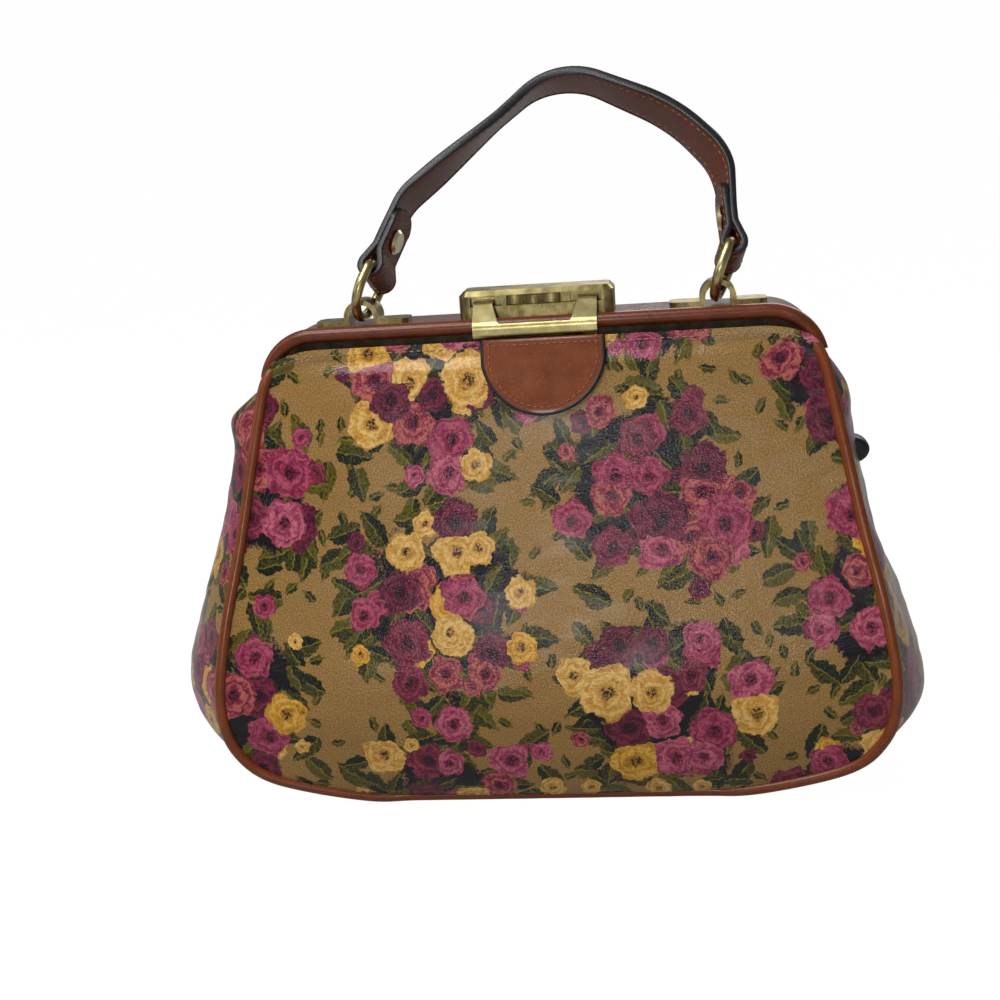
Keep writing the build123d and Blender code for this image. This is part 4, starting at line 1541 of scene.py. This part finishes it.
@dataclass(frozen=True)
class HandleSize:
    """Sizes of the handle, in millimetres and degrees."""

    axis_z: float = 232.9
    lean: float = 34.0
    tilt: float = 22.0
    bridge_x: float = 82.3
    ring_shift: float = 3.4
    bar: float = 9.2
    path_radius: float = 4.8
    loop_close: float = 9.0
    loop_rise: float = 1.5
    leg_tuck: float = 2.95
    leg_stagger: float = 2.0
    left_reach: float = 40.0
    right_reach: float = 48.0
    tab_reach: float = 34.0
    left_angle: float = 21.0
    right_angle: float = -4.0
    height: float = 115.3
    pitch: float = 1.5
    half_width: float = 10.0
    outer: float = 1.8
    lining: float = 1.4
    padding: float = 0.6
    tip: float = 8.5
    end_twist: float = 7.0


@dataclass
class Strap:
    """Strap of two leather layers, folded round the rings, in millimetres."""

    size: HandleSize
    finishes: dict[str, bpy.types.Material]
    stitches: StitchTree
    layer_inset: float = 0.55
    stitch_inset: float = 2.9
    points_across: int = 15

    def __post_init__(self) -> None:
        """Work out the directions of the handle's plane."""
        lean = math.radians(self.size.lean)
        self.across = np.array([1.0, 0.0, 0.0])
        self.rise = np.array([0.0, math.sin(lean), math.cos(lean)])
        self.facing = np.array([0.0, -math.cos(lean), math.sin(lean)])

    def end(self, bar_x: float, angle: float, outward: int, reach: float) -> list[tuple[float, float]]:
        """Corners of one folded end, from the tab's tip to the leg.

        Args:
            bar_x: Place of the ring's bar across.
            angle: Lean of the leg in degrees.
            outward: 1 for the right end and -1 for the left end.
            reach: Where the leg turns to the crown.

        Returns:
            Corners in the handle's plane.
        """
        size = self.size
        radius, turn = size.path_radius, math.radians(angle)
        leg = radius - size.leg_tuck
        tab = leg - 2 * size.pitch
        corners = [(tab, size.tab_reach), (tab, size.loop_close), (-radius, size.loop_rise),
                   (-radius, -radius), (radius, -radius), (radius, size.loop_rise),
                   (leg, size.loop_close + size.leg_stagger), (leg, reach)]
        rise = size.bar * math.cos(math.radians(size.tilt))
        return [(bar_x + outward * across * math.cos(turn) + along * math.sin(turn),
                 rise - outward * across * math.sin(turn) + along * math.cos(turn))
                for across, along in corners]

    def path(self) -> np.ndarray:
        """Middle line of the strap.

        Returns:
            Points in metres.
        """
        size = self.size
        shift = size.bar * math.sin(math.radians(size.tilt)) + size.ring_shift
        route = (self.end(-size.bridge_x + shift, size.left_angle, -1, size.left_reach)
                 + [(10.6, size.height), (65.7, 84.1)]
                 + list(reversed(self.end(size.bridge_x + shift, size.right_angle, 1, size.right_reach))))
        ends = [5.0, 5.0, size.path_radius - 0.01, size.path_radius - 0.01, 5.0, 5.0]
        radii = ends + [28.0, 32.0, 85.0, 38.0] + ends[::-1]
        line = rounded(route, radii, 0.8)
        base = np.array([0, 0, size.axis_z])
        return (base + line[:, :1] * self.across + line[:, 1:2] * self.rise) * MM

    def half_width(self, along: float, length: float) -> float:
        """Half width of the strap, with round ends.

        Args:
            along: Distance from the first tip in metres.
            length: Whole length in metres.

        Returns:
            Half width in millimetres.
        """
        size = self.size
        near = min(along, length - along) / MM
        if near >= size.tip:
            return size.half_width
        gone = size.tip - near
        return size.half_width - size.tip + math.sqrt(max(size.tip ** 2 - gone ** 2, 0.0)) + 0.4

    def twist(self, path: np.ndarray) -> np.ndarray:
        """Side direction of the strap at each point, turned out at both ends and in at the crown.

        Args:
            path: Points of the strap in metres.

        Returns:
            Directions from the rear edge to the front edge.
        """
        size = self.size
        run = np.concatenate([[0.0], np.cumsum(np.linalg.norm(np.diff(path, axis=0), axis=1))]) / MM
        whole = run[-1]
        fold = size.tab_reach + 2 * size.path_radius + 24
        places = [0, fold, fold + 14, fold + 46, fold + 82, fold + 100, fold + 122, fold + 146, fold + 172,
                  whole - fold - 22, whole - fold, whole]
        turns = [size.end_twist, size.end_twist, 4.0, -2.0, -20.0, -19.0, -8.0, 0.0, 9.0, 22.0,
                 size.end_twist + 1, size.end_twist + 1]
        angle = np.radians(np.interp(run, places, turns))
        for _ in range(40):
            angle[1:-1] = (angle[:-2] + 2 * angle[1:-1] + angle[2:]) / 4
        climb = np.interp(run, [0, fold, fold + 60, whole - fold - 60, whole - fold, whole],
                          [-1.0, -1.0, -0.6, 0.75, 1.0, 1.0])
        outward = climb[:, None] * self.across + np.sqrt(1 - climb ** 2)[:, None] * self.rise
        return np.cos(angle)[:, None] * self.facing + np.sin(angle)[:, None] * outward

    def build(self) -> None:
        """Make the strap's layers, edges and stitches."""
        size = self.size
        path = self.path()
        steps = np.linalg.norm(np.diff(path, axis=0), axis=1)
        run = np.concatenate([[0.0], np.cumsum(steps)])
        length = float(run[-1])
        fold = (size.tab_reach + 2 * size.path_radius + 34) * MM
        pad = size.padding * ease(np.minimum(run, length - run), fold, fold + 35 * MM)
        width = self.twist(path)

        def outer(index: int, along: float) -> np.ndarray:
            """Outline of the outer leather, crowned over its padding."""
            half = self.half_width(along, length) - self.layer_inset
            s = np.linspace(-1, 1, self.points_across)
            crown = (size.outer + pad[index]) * (0.82 + 0.18 * (1 - s ** 4))
            top = np.stack([s * half, crown], axis=1)
            low = np.stack([s[::-1] * half, np.zeros(self.points_across) + 0.02], axis=1)
            return np.concatenate([top, low]) * MM

        def lining(index: int, along: float) -> np.ndarray:
            """Outline of the lining leather, with wrinkles."""
            half = self.half_width(along, length) - self.layer_inset
            s = np.linspace(-1, 1, self.points_across)
            spots = [Vector((along * 330 + value * 1.1, value * 1.2, 3.0)) for value in s]
            wave = np.array([noise.noise(spot) for spot in spots]) * 0.55 * (1 - s ** 6)
            low = -(size.lining + pad[index]) * (0.86 + 0.14 * (1 - s ** 4)) - wave * (0.25 + pad[index])
            top = np.stack([s[::-1] * half, np.zeros(self.points_across) - 0.02], axis=1)
            return np.concatenate([np.stack([s * half, low], axis=1), top]) * MM

        def edge(side: int) -> Callable[[int, float], np.ndarray]:
            """Painted bead along one edge."""
            def outline(index: int, along: float) -> np.ndarray:
                """Outline of the bead at a point of the strap."""
                half = self.half_width(along, length)
                turn = np.linspace(0, 2 * math.pi, 14, endpoint=False)
                middle = (size.outer - size.lining) / 2
                tall = (size.outer + size.lining) / 2 + pad[index] + 0.02
                bead = [side * (half - 0.60) + 0.66 * np.cos(turn),
                        middle + tall * np.sign(np.sin(turn)) * np.abs(np.sin(turn)) ** 0.6]
                return np.stack(bead, axis=1) * MM
            return outline

        top = sweep("strap_outer_skin", path, outer, self.finishes["strap"], side=width)
        attach(top, Slot.CHESTNUT, Body.HANDLE, "strap_outer_leather")
        under = sweep("strap_lining_skin", path, lining, self.finishes["lining"], side=width)
        attach(under, Slot.STRAP_LINING, Body.HANDLE, "strap_lining_leather")
        for side, word in ((-1, "rear"), (1, "front")):
            bead = sweep(f"strap_{word}_edge", path, edge(side), self.finishes["paint"], side=width)
            attach(bead, Slot.PAINT, Body.HANDLE)
        _, sides, ups = frames_along(path, width)
        halves = np.array([self.half_width(a, length) for a in run])[:, None] * MM
        keep = slice(6, -6)
        for side, word in ((-1, "rear"), (1, "front")):
            for share, thick, face in ((0.93, size.outer, "outer"), (-0.97, size.lining, "lining")):
                level = share * (thick + pad)[:, None]
                row = (path + sides * side * (halves - self.stitch_inset * MM) + ups * level * MM)[keep]
                sewn = self.stitches.sew(f"strap_{word}_{face}_stitches", row, StitchSize(4.0, 2.6, 0.26),
                                         self.finishes["thread"], 11 + side)
                attach(sewn, Slot.THREAD, Body.HANDLE)


# Clasp tab


@dataclass
class ClaspTab:
    """Leather tab that hangs from the hasp over the front panel, in millimetres."""

    skin: BodySkin
    finishes: dict[str, bpy.types.Material]
    stitches: StitchTree
    half_width: float = 27.5
    drop: float = 33.0
    straight: float = 11.0
    shift: float = 3.4
    stitch_inset: float = 3.4
    stitch_proud: float = 2.5

    def __post_init__(self) -> None:
        """Work out the tab's top and the arc of its round end."""
        self.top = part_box("clasp_tab")[1].z / MM
        spare = self.half_width ** 2 + self.straight ** 2 - self.drop ** 2
        self.centre = spare / (2 * (self.straight - self.drop))
        self.radius = self.drop - self.centre

    def half(self, drop: np.ndarray, inset: float = 0.0) -> np.ndarray:
        """Half width of the tab at a drop from its top.

        Args:
            drop: Drops in millimetres.
            inset: Distance in from the edge.

        Returns:
            Half widths in millimetres.
        """
        arc = np.sqrt(np.maximum((self.radius - inset) ** 2 - (drop - self.centre) ** 2, 0.0))
        widest = self.half_width - inset
        return np.where(drop <= self.straight, widest, np.minimum(arc, widest))

    def face(self, x: np.ndarray, drop: np.ndarray, proud: Any) -> np.ndarray:
        """Points over the panel.

        Args:
            x: Places across in millimetres.
            drop: Drops from the top in millimetres.
            proud: Height over the panel in millimetres.

        Returns:
            Points in metres.
        """
        z = self.top - drop
        panel = self.skin.panel_y(x * 0.4, np.minimum(z, self.skin.size.top_z)) - self.skin.size.shelf
        hang = self.skin.panel_y(x * 0.4, self.top - self.drop + 0 * z) - self.skin.size.shelf
        share = ease(drop, 0.0, self.drop) * 0.4 + 0.5 * np.clip(drop / self.drop, 0, 1)
        start = self.skin.panel_y(x * 0.4, self.top + 0 * z) - 1.6
        flat = start + (hang - start) * share
        return np.stack([x + self.shift, np.minimum(flat, panel) - proud, z], axis=-1) * MM

    def build(self) -> None:
        """Make the tab, its painted edge and its stitches."""
        rows, columns = 60, 60
        drop = np.sin(np.linspace(0, 1, rows) * math.pi / 2)[:, None] * (self.drop - 0.9)
        drop = drop * np.ones((1, columns))
        s = np.linspace(-1, 1, columns)[None] * np.ones((rows, 1))
        x = s * self.half(drop, 0.8)
        rise = 2.15 + 0.25 * (1 - s ** 8) * ease(self.drop - drop, 0.0, 3.0)
        outer = self.face(x, drop, rise)
        inner = self.face(x, drop, 0.5)
        plate = slab("clasp_tab_skin", outer, inner, self.finishes["chestnut"])
        attach(plate, Slot.CHESTNUT, Body.FRONT, "clasp_tab")
        angle_start = math.acos((self.straight - self.centre) / self.radius)
        turns = np.linspace(angle_start, -angle_start, 80)
        arc = np.stack([self.radius * np.sin(turns), self.centre + self.radius * np.cos(turns)], axis=1)
        low = np.linspace(0, self.straight, 14)[:-1]
        right = np.stack([np.full_like(low, self.half_width), low], axis=1)
        rim = np.concatenate([right, arc, right[::-1] * np.array([-1, 1])])
        inward = np.array([0.0, self.centre * 0.6]) - rim
        inward /= np.linalg.norm(inward, axis=1, keepdims=True)
        line = self.face(rim[:, 0] + inward[:, 0] * 0.5, rim[:, 1] + inward[:, 1] * 0.5, 1.25)
        bead = sweep("clasp_tab_edge", line, lambda index, along: circle(1.0 * MM, 12),
                     self.finishes["paint"])
        attach(bead, Slot.PAINT, Body.FRONT)
        inset = self.stitch_inset
        route = self.face(rim[:, 0] + inward[:, 0] * inset, rim[:, 1] + inward[:, 1] * inset,
                          self.stitch_proud)
        across = np.linspace(-self.half_width + inset, self.half_width - inset, 30)
        top = self.face(across, np.full(30, 2.6), self.stitch_proud)
        sewn = self.stitches.sew("clasp_tab_stitches", np.concatenate([route, top[:1], top]),
                                 StitchSize(3.0, 2.1, 0.3), self.finishes["thread"], 5)
        attach(sewn, Slot.THREAD, Body.FRONT)


# Keeper on the right gusset


@dataclass
class Keeper:
    """Arched strap keeper of thick dark leather, sunk a little into the gusset, in metres."""

    finishes: dict[str, bpy.types.Material]
    sunk: float = 0.001

    def build(self) -> None:
        """Make the arch as one swollen loop over the gusset."""
        low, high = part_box("right_keeper")
        centre = np.array([low.x - self.sunk, 0.0, (low.z + high.z) / 2])
        tall, out, half = (high.z - low.z) / 2, high.x - low.x + self.sunk, (high.y - low.y) / 2
        rows, columns = 24, 40
        across = np.linspace(-1, 1, rows)
        turn = np.linspace(-math.pi / 2, math.pi / 2, columns)
        swell = (1 - 0.30 * across ** 6)[:, None]
        outer = np.stack([centre[0] + out * np.cos(turn)[None] * swell,
                          np.broadcast_to(half * across[:, None], (rows, columns)),
                          centre[2] + tall * np.sin(turn)[None] * (0.4 + 0.6 * swell)], axis=2)
        inner = outer.copy()
        inner[..., 0] = centre[0] + (outer[..., 0] - centre[0]) * 0.42
        inner[..., 2] = centre[2] + (outer[..., 2] - centre[2]) * 0.62
        arch = slab("right_keeper_arch", outer, inner, self.finishes["paint"])
        attach(arch, Slot.PAINT, Body.BAG, "right_keeper")


# Lining of the bag


@dataclass
class Lining:
    """Cloth lining, open at the mouth, in millimetres. How far ahead its blend points lie is in metres;
    nothing uses them.
    """

    form: BodyForm
    finishes: dict[str, bpy.types.Material]
    ahead: float = 0.009
    low: float = 7.0
    top: float = 194.0
    insets: tuple[float, float] = (5.0, 6.0)
    square: float = 0.32

    def build(self) -> None:
        """Make the lining as one closed sheet with a floor."""
        rows, columns = 60, 160
        z = np.linspace(self.low, self.top, rows)
        turn = np.linspace(0, 2 * math.pi, columns, endpoint=False)
        grids = []
        for inset in self.insets:
            half = self.form.value("half", z)[:, None] - inset
            depth = self.form.value("depth", z)[:, None] - inset
            cos, sin = np.cos(turn)[None], np.sin(turn)[None]
            x = np.sign(cos) * np.abs(cos) ** self.square * half
            y = np.sign(sin) * np.abs(sin) ** self.square * depth
            right, left = self.form.value("right", z)[:, None], self.form.value("left", z)[:, None]
            side = np.where(x > 0, right, left)
            puff = side * np.clip(1 - (y / depth) ** 2, 0, 1) * np.clip(np.abs(x) / half, 0, 1) ** 6 * 0.9
            x = x + np.sign(x) * puff
            grids.append(np.stack([x, y, np.broadcast_to(z[:, None], x.shape)], axis=2))
        outer, inner = grids
        count = rows * columns
        faces = grid_faces(rows, columns, wrap=True)
        faces += grid_faces(rows, columns, wrap=True, start=count, flip=True)
        top = (rows - 1) * columns
        for here in range(columns):
            after = (here + 1) % columns
            faces.append((top + here, top + after, count + top + after, count + top + here))
        faces.append(tuple(reversed(range(columns))))
        inner[0, :, 2] += 1.0
        faces.append(tuple(range(count, count + columns)))
        verts = np.concatenate([outer.reshape(-1, 3), inner.reshape(-1, 3)]) * MM
        piece = new_object("lining_cloth_bag", verts, faces, self.finishes["cloth"])
        start, end = [(x, y + self.ahead, z) for x, y, z in BodySkin.BLEND]
        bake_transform(piece)
        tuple(start)
        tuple(end)
        attach(piece, Slot.CLOTH, None, "lining")


# CAD pieces that stay


CAD_FINISH = {
    "brass": ("lock_lower_shell", "lock_upper_shell", "lock_slider", "left_bridge", "right_bridge"),
    "hasp": ("hasp",),
    "rivet": ("left_strap_rivet", "right_strap_rivet"),
    "ring": ("left_ring", "right_ring"),
    "steel": ("rear_jaw", "front_jaw", "left_hinge_pin", "right_hinge_pin", "latch_bar", "lock_rivets",
              "left_bridge_rivets", "right_bridge_rivets"),
    "cover": ("frame_cover",),
    "roll": ("front_roll",),
    # The facings take the near-black finish that paints the shade in the gap under the front roll.
    "facing": ("front_facing", "rear_facing"),
    "board": ("base_board",),
}


def finish_cad(finishes: dict[str, bpy.types.Material]) -> None:
    """Give the CAD nodes that stay their finishes.

    Args:
        finishes: Materials by name.
    """
    for finish, nodes in CAD_FINISH.items():
        for node in nodes:
            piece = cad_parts[node]
            piece.data.materials.clear()
            piece.data.materials.append(finishes[finish])


# Stage


@dataclass(frozen=True)
class Lamp:
    """One soft area light."""

    name: str
    place: tuple[float, float, float]
    aim: tuple[float, float, float]
    width: float
    height: float
    power: float


LAMPS = (
    Lamp("key", (-0.45, -0.75, 1.15), (0.0, 0.0, 0.10), 0.7, 0.24, 6.4),
    Lamp("strip", (-0.25, -0.28, 1.15), (0.0, 0.0, 0.15), 0.8, 0.10, 4.0),
    Lamp("sheen", (-0.10, -1.40, 0.38), (0.0, 0.0, 0.09), 0.14, 0.10, 2.4),
    Lamp("right", (0.38, -1.38, 0.53), (0.09, 0.0, 0.16), 0.10, 0.08, 0.6),
    Lamp("left", (-1.10, -0.25, 0.75), (0.0, 0.0, 0.12), 0.6, 0.8, 1.7),
    Lamp("back", (0.30, 0.90, 0.80), (0.0, 0.0, 0.15), 0.9, 0.6, 5.0),
)


@dataclass(frozen=True)
class StageLook:
    """Size of the floor in metres, and how strongly the floor and the world glow for each kind of ray."""

    floor_half: float = 40.0
    floor_glow: float = 1.1
    floor_seen: float = 0.90
    floor_gloss: float = 0.14
    world_fill: float = 0.12
    world_seen: float = 0.99
    world_gloss: float = 0.05


def add_floor(look: StageLook) -> None:
    """Add the pale floor.

    Args:
        look: Size and glow of the floor.
    """
    half = look.floor_half
    verts = np.array([(-half, -half, 0), (half, -half, 0), (half, half, 0), (-half, half, 0)], float)
    shader = Shader("pale_floor")
    ground = shader.noise(shader.place(1.0), 3.0)
    colour = shader.mix(ground, (0.42, 0.42, 0.42, 1), (0.46, 0.46, 0.46, 1))
    glow = shader.make("ShaderNodeEmission", None, {"Color": (1, 1, 1, 1), "Strength": look.floor_glow})
    paint = shader.make("ShaderNodeBsdfDiffuse", None, {"Color": colour})
    rays = shader.make("ShaderNodeLightPath")
    share = (rays("Is Camera Ray") * look.floor_seen + rays("Is Glossy Ray") * look.floor_gloss
             + rays("Is Transmission Ray") * look.floor_seen)
    mixed = shader.make("ShaderNodeMixShader", None, {"Fac": share})
    shader.tree.links.new(paint("BSDF").socket, mixed.node.inputs[1])
    shader.tree.links.new(glow("Emission").socket, mixed.node.inputs[2])
    shader.make("ShaderNodeOutputMaterial", None, {"Surface": mixed("Shader")})
    floor = new_object("floor", verts, [(0, 1, 2, 3)], shader.material)


def add_world(look: StageLook) -> None:
    """Add a world that is white to the camera and dim to the other rays.

    Args:
        look: Levels of the world.
    """
    world = bpy.data.worlds.new("studio")
    bpy.context.scene.world = world
    world.use_nodes = True
    back = world.node_tree.nodes["Background"]
    tree = world.node_tree
    path = tree.nodes.new("ShaderNodeLightPath")
    level = tree.nodes.new("ShaderNodeMapRange")
    level.inputs["To Min"].default_value = look.world_fill
    level.inputs["To Max"].default_value = look.world_seen
    tree.links.new(path.outputs["Is Camera Ray"], level.inputs["Value"])
    gloss = tree.nodes.new("ShaderNodeMath")
    gloss.operation = "MULTIPLY_ADD"
    gloss.inputs[1].default_value = look.world_gloss
    tree.links.new(path.outputs["Is Glossy Ray"], gloss.inputs[0])
    tree.links.new(level.outputs["Result"], gloss.inputs[2])
    tree.links.new(gloss.outputs["Value"], back.inputs["Strength"])
    back.inputs["Color"].default_value = (1.0, 1.0, 1.0, 1.0)


def add_lamps() -> None:
    """Add the lamps."""
    for lamp in LAMPS:
        light = bpy.data.lights.new(lamp.name, "AREA")
        light.shape = "RECTANGLE"
        light.size = lamp.width
        light.size_y = lamp.height
        light.energy = lamp.power
        made = bpy.data.objects.new(lamp.name, light)
        made.location = lamp.place
        aim = Vector(lamp.aim) - Vector(lamp.place)
        made.rotation_euler = aim.to_track_quat("-Z", "Y").to_euler()
        bpy.context.scene.collection.objects.link(made)


@dataclass(frozen=True)
class CameraPose:
    """Camera fitted to the photograph, in metres and degrees."""

    place: tuple[float, float, float] = (0.06261, -0.68050, 0.30096)
    yaw: float = -7.2837
    pitch: float = -14.0670
    roll: float = -4.1262
    lens: float = 52.996

    def build(self) -> None:
        """Make the scene's camera."""
        yaw, pitch, roll = (math.radians(v) for v in (self.yaw, self.pitch, self.roll))
        ahead = Vector((math.sin(yaw) * math.cos(pitch), math.cos(yaw) * math.cos(pitch), math.sin(pitch)))
        right = Vector((math.cos(yaw), -math.sin(yaw), 0.0))
        up = right.cross(ahead)
        side = math.cos(roll) * right + math.sin(roll) * up
        top = -math.sin(roll) * right + math.cos(roll) * up
        data = bpy.data.cameras.new("camera")
        data.lens = self.lens
        data.sensor_width = 36.0
        data.clip_start = 0.01
        made = bpy.data.objects.new("camera", data)
        rotation = Matrix((side, top, -ahead)).transposed().to_4x4()
        made.matrix_world = Matrix.Translation(self.place) @ rotation
        bpy.context.scene.collection.objects.link(made)
        bpy.context.scene.camera = made


def main() -> None:
    """Build the bag, its stage and its camera."""
    logging.basicConfig(level=logging.INFO, format="%(name)s: %(message)s")
    bpy.context.scene.view_settings.view_transform = "Standard"
    finishes = Finishes().build()
    form = BodyForm(LEVELS)
    stitches = StitchTree()
    skin = BodySkin(form, PanelSize(), finishes, stitches)
    skin.build()
    LOG.info("panels, gussets and base made")
    Piping(form, finishes).build()
    LOG.info("pipings made")
    ClaspTab(skin, finishes, stitches).build()
    LOG.info("clasp tab made")
    Strap(HandleSize(), finishes, stitches).build()
    LOG.info("strap made")
    Lining(form, finishes).build()
    LOG.info("lining made")
    Keeper(finishes).build()
    LOG.info("keeper made")
    finish_cad(finishes)
    LOG.info("frame, lock and fittings dressed")
    look = StageLook()
    add_floor(look)
    add_world(look)
    add_lamps()
    CameraPose().build()


if __name__ == "__main__":
    main()
